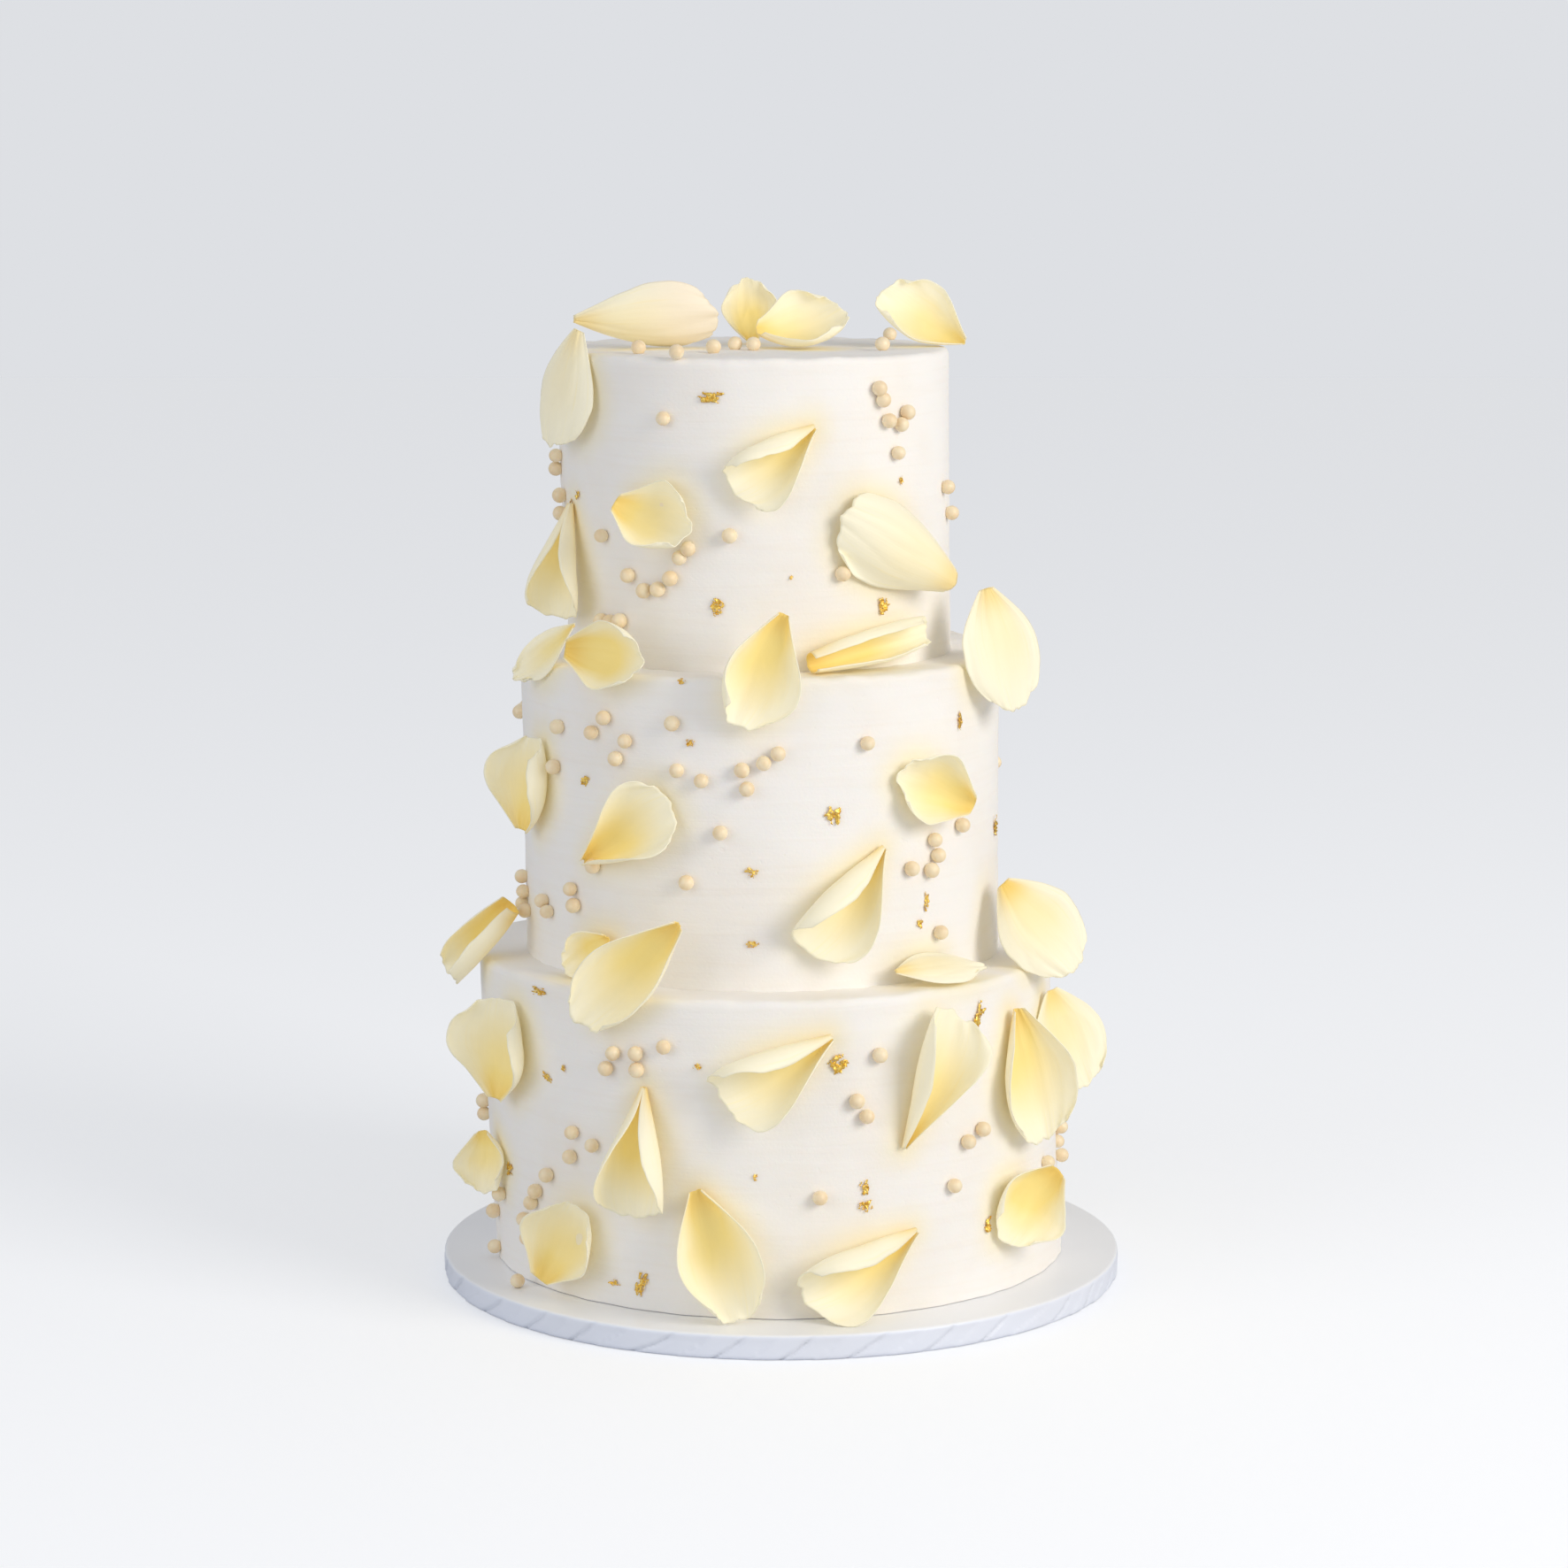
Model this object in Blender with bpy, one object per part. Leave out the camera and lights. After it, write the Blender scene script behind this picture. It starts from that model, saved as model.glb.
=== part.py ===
"""A three-tier iced wedding cake on its drum board, dressed with curled rose petals.

Metres, +Z up. The origin is the middle of the board's underside, and the cake's front faces -Y.
Run with: blender --background --python part.py
"""

import math
from dataclasses import dataclass, replace

import bmesh
import bpy
import numpy as np
from mathutils import Matrix, Vector

MM = 0.001

# The drum board.
BOARD_RADIUS = 152.5 * MM
BOARD_THICKNESS = 11.0 * MM
BOARD_EDGE_ROUND = 1.2 * MM

# The iced tiers.
TIER_RIM_ROUND = 3.2 * MM
TIER_FOOT_ROUND = 1.2 * MM
ROUND_STEPS = 3
AROUND_STEPS = 48

# Clear distance between pieces that rest on each other.
GAP = 0.3 * MM

# The petals' blades.
PETAL_THICKNESS = 0.9 * MM
BLADE_ACROSS = 6
BLADE_ALONG = 4
ARC_STEPS = 16
MARGIN_FROM = 0.6
MARGIN_FROM = 0.6
FACE_SAMPLES = (0.0, 0.33, 0.67, 1.0)
SETTLE_REACH = 70 * MM
SETTLE_STEP = 0.25 * MM
LEDGE_SLACK = 0.6 * MM

# The petals this near the front, in degrees, are matched by as many at the back.
MATCHED_WITHIN = 60


@dataclass(frozen=True)
class Tier:
    """One iced cake: a round, slightly tapered body whose rim may sit a little to one side of its foot."""

    name: str
    foot_radius: float
    rim_radius: float
    height: float
    foot_shift: float
    rim_shift: float


TIERS = (
    Tier("tier_bottom", 127.8 * MM, 127.4 * MM, 138 * MM, -1.1 * MM, -7.9 * MM),
    Tier("tier_middle", 105.4 * MM, 106.0 * MM, 134 * MM, -8.4 * MM, -9.2 * MM),
    Tier("tier_top", 84.6 * MM, 86.6 * MM, 133 * MM, -9.5 * MM, -13.1 * MM),
)
TIER_OF = {tier.name.removeprefix("tier_"): tier for tier in TIERS}


@dataclass(frozen=True)
class Form:
    """How a petal's blade is cut and curled. Angles are in degrees, shares run from 0 to 1.

    claw, brim: half-width at the two ends, as a share of the widest half-width.
    widest: where along the blade it is widest.
    claw_roll, brim_roll: how far the (left, right) edges turn up at each end.
    opening: above 1, the blade stays rolled for longer before it opens to its brim.
    edge: above 1, the curl gathers at the edges and the middle stays flatter.
    arch: how far the spine bends up towards the hollow side, end to end.
    lip: how far the brim bends back again.
    back_curl: how far the (left, right) margins turn back again, near the brim.
    twist: how far the cross-section turns from end to end.
    """

    claw: float
    brim: float
    widest: float
    claw_roll: tuple
    brim_roll: tuple
    opening: float = 1.0
    edge: float = 1.0
    arch: float = 0.0
    lip: float = 0.0
    back_curl: tuple = (0.0, 0.0)
    twist: float = 0.0


CORNET = Form(0.10, 0.78, 0.78, (160, 160), (62, 62), 1.8, 1.2, 12, 20)
BOAT = Form(0.15, 0.40, 0.55, (80, 80), (65, 65), 1.0, 1.0, 40, 0)
CUP = Form(0.22, 0.55, 0.55, (55, 55), (60, 60), 1.0, 1.0, 85, 0)
LEAF = Form(0.18, 0.35, 0.50, (25, 25), (25, 25), 1.0, 1.0, 25, 0)
TUBE = Form(0.60, 0.75, 0.60, (150, 150), (140, 140), 1.0, 1.1, 8, 0)
LAPPED = Form(0.10, 0.75, 0.72, (140, 230), (50, 130), 1.1, 1.1, 15, 12)
BOWL = Form(0.25, 0.62, 0.55, (70, 70), (75, 75), 1.0, 0.9, 80, 0)


@dataclass(frozen=True)
class Petal:
    """A petal and where it lies.

    rest: "wall" leans on a tier's side, "top" lies on a tier, "ledge" lies on a tier against the one above.
    around: degrees round the cake from the front, positive to the right.
    level: mm above the tier's foot for a wall petal, from the tier's axis for a top one,
        and above the ledge, before it settles, for a ledge one.
    turn: degrees clockwise from upright, or from straight back on a top, of the claw-to-brim line.
    lean: degrees that the brim stands off. tilt: degrees that the right edge stands off.
    length, width: mm, of the blade laid flat. back: the hollow side faces the cake.
    facing: degrees that it is turned about the upright, back to the front when around is positive.
    """

    form: Form
    rest: str
    around: float
    level: float
    turn: float
    lean: float
    tilt: float
    length: float
    width: float
    back: bool = False
    facing: float = 0.0


# Petals by where they lie, in the order they are set round the cake.
PETALS = {
    ("top", "crown"): (
        Petal(replace(BOAT, claw=0.06, brim=0.7, widest=0.65), "top", -66, 50, 90, 0, 62, 64, 42),
        Petal(CUP, "top", 183, 30, -8, 75, 0, 31, 30),
        Petal(replace(BOWL, arch=95), "top", 85, 22, 75, 10, -35, 46, 46),
        Petal(replace(BOWL, claw=0.1, arch=70), "top", 98, 74, -85, 30, 50, 46, 42),
    ),
    ("top", "wall"): (
        Petal(replace(LEAF, brim=0.6, widest=0.6), "wall", -61, 118, -168, 8, 0, 52, 42, back=True,
              facing=-6),
        Petal(LAPPED, "wall", 6, 92, -123, 8, 0, 44, 46),
        Petal(BOWL, "wall", -27, 62, 106, 5, 30, 42, 42),
        Petal(replace(BOAT, claw=0.35, brim=0.75, widest=0.6, back_curl=(0, 190)), "wall", 41, 51, -60, 0,
              0, 64, 46, back=True, facing=15),
        Petal(replace(LAPPED, opening=1.6), "wall", -66, 42, 180, 10, 0, 50, 52, facing=-20),
    ),
    ("middle", "rim"): (
        Petal(replace(LEAF, twist=60), "wall", -60, 138, -130, 20, 0, 42, 18),
        Petal(BOWL, "wall", -36, 140, 93, 5, 10, 48, 40),
        Petal(replace(BOAT, brim_roll=(40, 120), brim=0.6, widest=0.65), "wall", 0, 138, -156, 5, 0, 52, 46),
        Petal(TUBE, "ledge", 32, 14, 80, 0, 0, 62, 34),
        Petal(replace(LEAF, brim=0.6), "wall", 65, 140, 173, 14, 0, 54, 44, back=True, facing=25),
    ),
    ("middle", "wall"): (
        Petal(replace(BOAT, brim_roll=(60, 130)), "wall", -66, 80, 16, 5, 0, 46, 50, facing=-25),
        Petal(replace(CORNET, brim_roll=(75, 75)), "wall", -32, 65, 58, 5, 0, 54, 50),
        Petal(BOWL, "wall", 43, 84, -64, 6, 0, 42, 42, facing=25),
        Petal(LAPPED, "wall", 19, 40, -136, 6, 0, 56, 54),
    ),
    ("bottom", "rim"): (
        Petal(TUBE, "wall", -77, 143, -149, 30, 0, 44, 40, facing=-20),
        Petal(replace(BOAT, brim_roll=(110, 50), claw_roll=(110, 80), brim=0.6), "wall", -26, 149, -135, 5,
              20, 66, 46),
        Petal(BOWL, "ledge", -43, 12, -125, 10, 0, 30, 28),
        Petal(replace(LEAF, claw=0.1), "ledge", 41, 10, 94, 5, 62, 48, 22, back=True),
        Petal(replace(LEAF, brim=0.6), "wall", 68, 156, 150, 30, 0, 50, 44, back=True, facing=25),
    ),
    ("bottom", "wall"): (
        Petal(replace(BOAT, brim=0.7, brim_roll=(60, 110)), "wall", -60, 104, 12, 5, 0, 48, 58, facing=-25),
        Petal(LAPPED, "wall", 2, 111, -116, 8, 0, 55, 54),
        Petal(replace(CORNET, claw_roll=(190, 150), brim_roll=(110, 50)), "wall", 32, 101, 20, 5, 0, 62, 50,
              facing=10),
        Petal(replace(BOAT, brim=0.6, claw_roll=(80, 100)), "wall", 59, 93, 170, 5, 0, 62, 50, facing=25),
        Petal(replace(LEAF, brim=0.6), "wall", 74, 102, 167, 16, 0, 46, 42, facing=35),
        Petal(replace(LAPPED, claw_roll=(190, 190), brim_roll=(90, 90)), "wall", -23, 71, 180, 8, 0, 56, 56),
        Petal(BOWL, "wall", -72, 47, 172, 8, 0, 30, 36, facing=-40),
        Petal(BOWL, "wall", -42, 26, 30, 5, 0, 46, 50, facing=-15),
        Petal(replace(BOAT, brim=0.6, brim_roll=(60, 100)), "wall", -8, 27, 160, 8, 0, 60, 48),
        Petal(LAPPED, "wall", 18, 20, -112, 8, 0, 58, 52),
        Petal(BOWL, "wall", 57, 37, -134, 8, 0, 44, 48, facing=35),
    ),
}


def tier_base(tier):
    """The height of a tier's foot."""
    below = TIERS[: TIERS.index(tier)]
    return BOARD_THICKNESS + sum(t.height for t in below)


def material(name, colour, roughness):
    """A plain Principled material."""
    made = bpy.data.materials.new(name)
    made.use_nodes = True
    shader = made.node_tree.nodes["Principled BSDF"]
    shader.inputs["Base Color"].default_value = (*colour, 1.0)
    shader.inputs["Roughness"].default_value = roughness
    return made


def link_object(name, bm, finish):
    """Turns a bmesh into a smooth-shaded object in the scene."""
    mesh = bpy.data.meshes.new(name)
    bm.to_mesh(mesh)
    bm.free()
    mesh.materials.append(finish)
    mesh.shade_smooth()
    mesh.set_sharp_from_angle(angle=math.radians(40))
    made = bpy.data.objects.new(name, mesh)
    bpy.context.scene.collection.objects.link(made)
    return made


def rim_edges(bm, height):
    """The ring of edges of a cylinder at one height."""
    return [e for e in bm.edges if all(abs(v.co.z - height) < 1e-6 for v in e.verts)]


def build_board(finish):
    """The drum board, with its edges eased."""
    bm = bmesh.new()
    bmesh.ops.create_cone(
        bm, cap_ends=True, segments=AROUND_STEPS, radius1=BOARD_RADIUS, radius2=BOARD_RADIUS,
        depth=BOARD_THICKNESS, matrix=Matrix.Translation((0, 0, BOARD_THICKNESS / 2)),
    )
    rims = rim_edges(bm, 0) + rim_edges(bm, BOARD_THICKNESS)
    bmesh.ops.bevel(
        bm, geom=rims, offset=BOARD_EDGE_ROUND, segments=2, profile=0.5, affect="EDGES",
        offset_type="OFFSET", material=-1,
    )
    return link_object("board", bm, finish)


def build_tier(tier, finish):
    """One iced tier: a tapered drum with a rounded rim, leaned so that its rim sits where it should."""
    height = tier.height - GAP
    bm = bmesh.new()
    bmesh.ops.create_cone(
        bm, cap_ends=True, segments=AROUND_STEPS, radius1=tier.foot_radius, radius2=tier.rim_radius,
        depth=height, matrix=Matrix.Translation((0, 0, height / 2)),
    )
    for edges, size, steps in (
        (rim_edges(bm, height), TIER_RIM_ROUND, ROUND_STEPS),
        (rim_edges(bm, 0), TIER_FOOT_ROUND, 1),
    ):
        bmesh.ops.bevel(
            bm, geom=edges, offset=size, segments=steps, profile=0.5, affect="EDGES",
            offset_type="OFFSET", material=-1,
        )
    for vert in bm.verts:
        share = vert.co.z / height
        vert.co.x += tier.foot_shift + (tier.rim_shift - tier.foot_shift) * share
    made = link_object(tier.name, bm, finish)
    made.location.z = tier_base(tier) + GAP
    return made


def half_width(form, along):
    """The blade's half-width, as a share of its widest, at a place along it."""
    if along < form.widest:
        rise = math.sin(math.pi / 2 * along / form.widest)
        return form.claw + (1 - form.claw) * rise
    beyond = (along - form.widest) / (1 - form.widest)
    return math.sqrt(1 - beyond**2 * (1 - form.brim**2))


def edge_curl(reach, roll, power, turned_back):
    """Where a strip that curls up ends, as (across, up), for a strip of length 1.

    The strip's heading grows from 0 to roll radians, and power gathers the growth at its end.
    Its margin turns back again by turned_back radians.
    """
    across = up = 0.0
    for step in range(ARC_STEPS):
        place = (step + 0.5) / ARC_STEPS * reach
        margin = max(0.0, (place - MARGIN_FROM) / (1 - MARGIN_FROM)) ** 2
        heading = roll * place**power - turned_back * margin
        across += math.cos(heading) * reach / ARC_STEPS
        up += math.sin(heading) * reach / ARC_STEPS
    return across, up


def spine_point(form, along, length):
    """A point of the blade's spine and its heading, from the claw."""
    y = z = 0.0
    arch, lip = math.radians(form.arch), math.radians(form.lip)
    for step in range(ARC_STEPS):
        share = (step + 0.5) / ARC_STEPS * along
        heading = arch * (share - 0.5) - lip * share**4
        y += math.cos(heading) * along * length / ARC_STEPS
        z += math.sin(heading) * along * length / ARC_STEPS
    heading = arch * (along - 0.5) - lip * along**4
    return y, z, heading


def blade_point(petal, across, along):
    """A point of the petal's curled blade: across runs from -1 to 1, along from 0 at the claw to 1.

    The blade's middle is at the origin, its brim points along +Y and its hollow side faces +Z.
    """
    form = petal.form
    length = petal.length * MM
    half = petal.width * MM / 2 * half_width(form, along)
    side = 0 if across < 0 else 1
    opened = along**form.opening
    roll = form.claw_roll[side] + (form.brim_roll[side] - form.claw_roll[side]) * opened
    turned_back = math.radians(form.back_curl[side] * along**2)
    out, up = edge_curl(abs(across), math.radians(roll), form.edge, turned_back)
    rounded = along - 0.12 * across**2 * along**3
    y, z, heading = spine_point(form, rounded, length)
    y0, z0, _ = spine_point(form, 0.5, length)
    twist = math.radians(form.twist) * (along - 0.5)
    flat, rise = math.copysign(out * half, across), up * half
    x = flat * math.cos(twist) - rise * math.sin(twist)
    lift = flat * math.sin(twist) + rise * math.cos(twist)
    return Vector((x, y - y0 - lift * math.sin(heading), z - z0 + lift * math.cos(heading)))


def petal_frame(petal):
    """The turned frame of a petal, as a 3 x 3 matrix: its own axes in the cake's."""
    angle = math.radians(petal.around - petal.facing)
    if petal.rest == "top":
        right, up, out = Vector((1, 0, 0)), Vector((0, 1, 0)), Vector((0, 0, 1))
    else:
        right = Vector((math.cos(angle), math.sin(angle), 0))
        up = Vector((0, 0, 1))
        out = Vector((math.sin(angle), -math.cos(angle), 0))
    basis = Matrix((right, up, out)).transposed()
    turned = basis @ Matrix.Rotation(math.radians(-petal.turn), 3, "Z")
    turned = turned @ Matrix.Rotation(math.radians(petal.lean), 3, "X")
    turned = turned @ Matrix.Rotation(math.radians(-petal.tilt), 3, "Y")
    if petal.back:
        turned = turned @ Matrix.Rotation(math.pi, 3, "Y")
    return turned


def clearance(points):
    """The distance from each point to the nearest of the board and tiers, negative inside one."""
    x, y, z = points.T
    nearest = np.full(len(points), np.inf)
    slab = (0.0, BOARD_THICKNESS, BOARD_RADIUS, BOARD_RADIUS, 0.0, 0.0)
    drums = [slab]
    for tier in TIERS:
        low = tier_base(tier)
        drums.append(
            (low, low + tier.height, tier.foot_radius, tier.rim_radius, tier.foot_shift, tier.rim_shift)
        )
    for low, high, foot, rim, foot_shift, rim_shift in drums:
        share = np.clip((z - low) / (high - low), 0, 1)
        middle = foot_shift + (rim_shift - foot_shift) * share
        side = np.hypot(x - middle, y) - (foot + (rim - foot) * share)
        ends = np.maximum(low - z, z - high)
        outside = np.hypot(np.maximum(side, 0), np.maximum(ends, 0))
        inside = np.minimum(np.maximum(side, ends), 0)
        nearest = np.minimum(nearest, outside + inside)
    return nearest


def move_in(points, direction, reach=SETTLE_REACH):
    """Slides the points from that far out along the direction back to where they touch. Returns the shift."""
    touch = GAP + PETAL_THICKNESS / 2
    while reach > -SETTLE_REACH:
        if clearance(points + direction * (reach - SETTLE_STEP)).min() < touch:
            break
        reach -= SETTLE_STEP
    return direction * reach


def settle(petal, tier, points):
    """The place of the petal's middle, at which the turned points rest on the cake."""
    angle = math.radians(petal.around)
    out = np.array((math.sin(angle), -math.cos(angle), 0.0))
    up = np.array((0.0, 0.0, 1.0))
    rim_height = tier_base(tier) + tier.height
    level = petal.level * MM
    if petal.rest == "top":
        place = out * level + up * rim_height
        place[0] += tier.rim_shift
        return place + move_in(points + place, up)
    upper = TIERS[min(TIERS.index(tier) + 1, len(TIERS) - 1)]
    if petal.rest == "ledge":
        start = upper.foot_radius
        place = out * start + up * (rim_height + level)
    else:
        start = tier.foot_radius
        height = max(tier_base(tier) + level, BOARD_THICKNESS + GAP + PETAL_THICKNESS - points[:, 2].min())
        place = out * start + up * height
    place[0] += tier.rim_shift
    place = place + move_in(points + place, out)
    if petal.rest == "ledge":
        place = place + out * LEDGE_SLACK
        place = place + move_in(points + place, up, 0.0)
    return place


def behind(petal):
    """The petal's mirror image, carried round to the back of the cake."""
    form = replace(
        petal.form, claw_roll=petal.form.claw_roll[::-1], brim_roll=petal.form.brim_roll[::-1],
        back_curl=petal.form.back_curl[::-1], twist=-petal.form.twist,
    )
    return replace(
        petal, form=form, around=180 - petal.around, turn=-petal.turn, tilt=-petal.tilt,
        facing=-petal.facing,
    )


def build_petal(name, petal, tier, finish, parent):
    """One petal: a flat blade, curled by its form, given its thickness and rested on the cake."""
    bm = bmesh.new()
    bmesh.ops.create_grid(bm, x_segments=BLADE_ACROSS, y_segments=BLADE_ALONG, size=1.0)
    for vert in bm.verts:
        vert.co = blade_point(petal, vert.co.x, (vert.co.y + 1) / 2)
    turned = petal_frame(petal)
    corners = [[turned @ vert.co for vert in face.verts] for face in bm.faces]
    points = np.array(
        [
            (a * (1 - s) + b * s) * (1 - t) + (d * (1 - s) + c * s) * t
            for a, b, c, d in corners
            for s in FACE_SAMPLES
            for t in FACE_SAMPLES
        ]
    )
    place = settle(petal, tier, points)
    made = link_object(name, bm, finish)
    wall = made.modifiers.new("thickness", "SOLIDIFY")
    wall.thickness = PETAL_THICKNESS
    wall.offset = 0.0
    made.parent = parent
    made.rotation_euler = turned.to_euler()
    made.location = Vector(place) - parent.location
    return made


def main():
    """Builds the board, the tiers and every petal."""
    for old in list(bpy.data.objects):
        bpy.data.objects.remove(old)
    foil = material("board_covering", (0.86, 0.87, 0.90), 0.35)
    icing = material("buttercream", (0.94, 0.90, 0.84), 0.6)
    blade = material("petal", (0.93, 0.90, 0.66), 0.5)
    build_board(foil)
    for tier in TIERS:
        build_tier(tier, icing)
    axis = bpy.data.objects.new("cake_axis", None)
    bpy.context.scene.collection.objects.link(axis)
    for (tier_name, zone), front in PETALS.items():
        matched = [p for p in front if abs(p.around) < MATCHED_WITHIN and p.rest != "top"]
        petals = [*front, *(behind(p) for p in matched)]
        for number, petal in enumerate(petals, 1):
            name = f"petal_{tier_name}_{zone}_{number}"
            build_petal(name, petal, TIER_OF[tier_name], blade, axis)


main()
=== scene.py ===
"""The looks of a three-tier wedding cake: buttercream, rose petals, sugar pearls and gold leaf."""

import json
import logging
import math
import random
from dataclasses import dataclass, replace
from enum import Enum
from typing import Any, Iterable, Iterator

import bmesh
import bpy
import numpy as np
from mathutils import Matrix, Vector, noise
from mathutils.kdtree import KDTree

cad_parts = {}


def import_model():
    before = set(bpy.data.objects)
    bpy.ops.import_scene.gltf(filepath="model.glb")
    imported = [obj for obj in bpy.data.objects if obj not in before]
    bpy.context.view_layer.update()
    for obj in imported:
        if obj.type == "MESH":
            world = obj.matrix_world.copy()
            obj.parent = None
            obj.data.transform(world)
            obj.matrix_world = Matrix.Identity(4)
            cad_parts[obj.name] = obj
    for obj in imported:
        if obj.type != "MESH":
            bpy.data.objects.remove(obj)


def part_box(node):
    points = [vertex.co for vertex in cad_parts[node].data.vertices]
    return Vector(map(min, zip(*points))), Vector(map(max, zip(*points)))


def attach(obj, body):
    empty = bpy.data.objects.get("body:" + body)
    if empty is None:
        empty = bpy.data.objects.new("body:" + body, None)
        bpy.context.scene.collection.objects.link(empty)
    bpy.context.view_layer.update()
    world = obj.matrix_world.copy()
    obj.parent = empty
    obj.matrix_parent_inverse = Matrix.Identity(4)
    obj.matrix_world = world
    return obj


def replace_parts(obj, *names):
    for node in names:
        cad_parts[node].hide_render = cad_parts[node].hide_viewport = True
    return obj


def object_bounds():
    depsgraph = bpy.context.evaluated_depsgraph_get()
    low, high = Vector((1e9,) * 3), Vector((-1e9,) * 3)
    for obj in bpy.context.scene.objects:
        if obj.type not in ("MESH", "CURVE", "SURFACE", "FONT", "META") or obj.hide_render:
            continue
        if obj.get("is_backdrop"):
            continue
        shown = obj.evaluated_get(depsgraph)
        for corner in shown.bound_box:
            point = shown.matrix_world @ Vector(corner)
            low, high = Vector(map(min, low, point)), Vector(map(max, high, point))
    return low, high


log = logging.getLogger("cake")

MM = 0.001

Colour = tuple[float, float, float, float]
Pair = tuple[float, float]


def tone(red: int, green: int, blue: int) -> Colour:
    """A colour for a shader from its everyday 0 to 255 values.

    Args:
        red: The red value.
        green: The green value.
        blue: The blue value.

    Returns:
        The linear colour, opaque.
    """
    linear = [c / 12.92 if c <= 0.04045 else ((c + 0.055) / 1.055) ** 2.4 for c in
              (red / 255, green / 255, blue / 255)]
    return (linear[0], linear[1], linear[2], 1.0)


# ---------------------------------------------------------------- materials


class Value:
    """A number in a material. Used in a sum, it adds the Math nodes of that sum."""

    def __init__(self, bench: "Bench", socket: bpy.types.NodeSocket) -> None:
        """Wraps a socket of the bench's tree."""
        self.bench = bench
        self.socket = socket

    def _math(self, operation: str, *terms: Any, clamp: bool = False) -> "Value":
        """Adds one Math node.

        Args:
            operation: The node's operation.
            terms: Its inputs in order, as values or numbers.
            clamp: Whether the result is kept between 0 and 1.

        Returns:
            The node's result.
        """
        settings = {"operation": operation, "use_clamp": clamp}
        return self.bench.value("ShaderNodeMath", settings, dict(enumerate(terms)))

    def __add__(self, other: Any) -> "Value":
        """self + other."""
        return self._math("ADD", self, other)

    __radd__ = __add__

    def __sub__(self, other: Any) -> "Value":
        """self - other."""
        return self._math("SUBTRACT", self, other)

    def __rsub__(self, other: Any) -> "Value":
        """other - self."""
        return self._math("SUBTRACT", other, self)

    def __mul__(self, other: Any) -> "Value":
        """self * other."""
        return self._math("MULTIPLY", self, other)

    __rmul__ = __mul__

    def __abs__(self) -> "Value":
        """The size of self without its sign."""
        return self._math("ABSOLUTE", self)

    def clamped(self) -> "Value":
        """self, kept between 0 and 1."""
        return self._math("ADD", self, 0.0, clamp=True)

    def between(self, low: float, high: float) -> "Value":
        """A smooth step: 0 at low and 1 at high, in either order."""
        settings = {"interpolation_type": "SMOOTHSTEP"}
        sockets = {"Value": self, "From Min": low, "From Max": high}
        return self.bench.value("ShaderNodeMapRange", settings, sockets)


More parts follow.
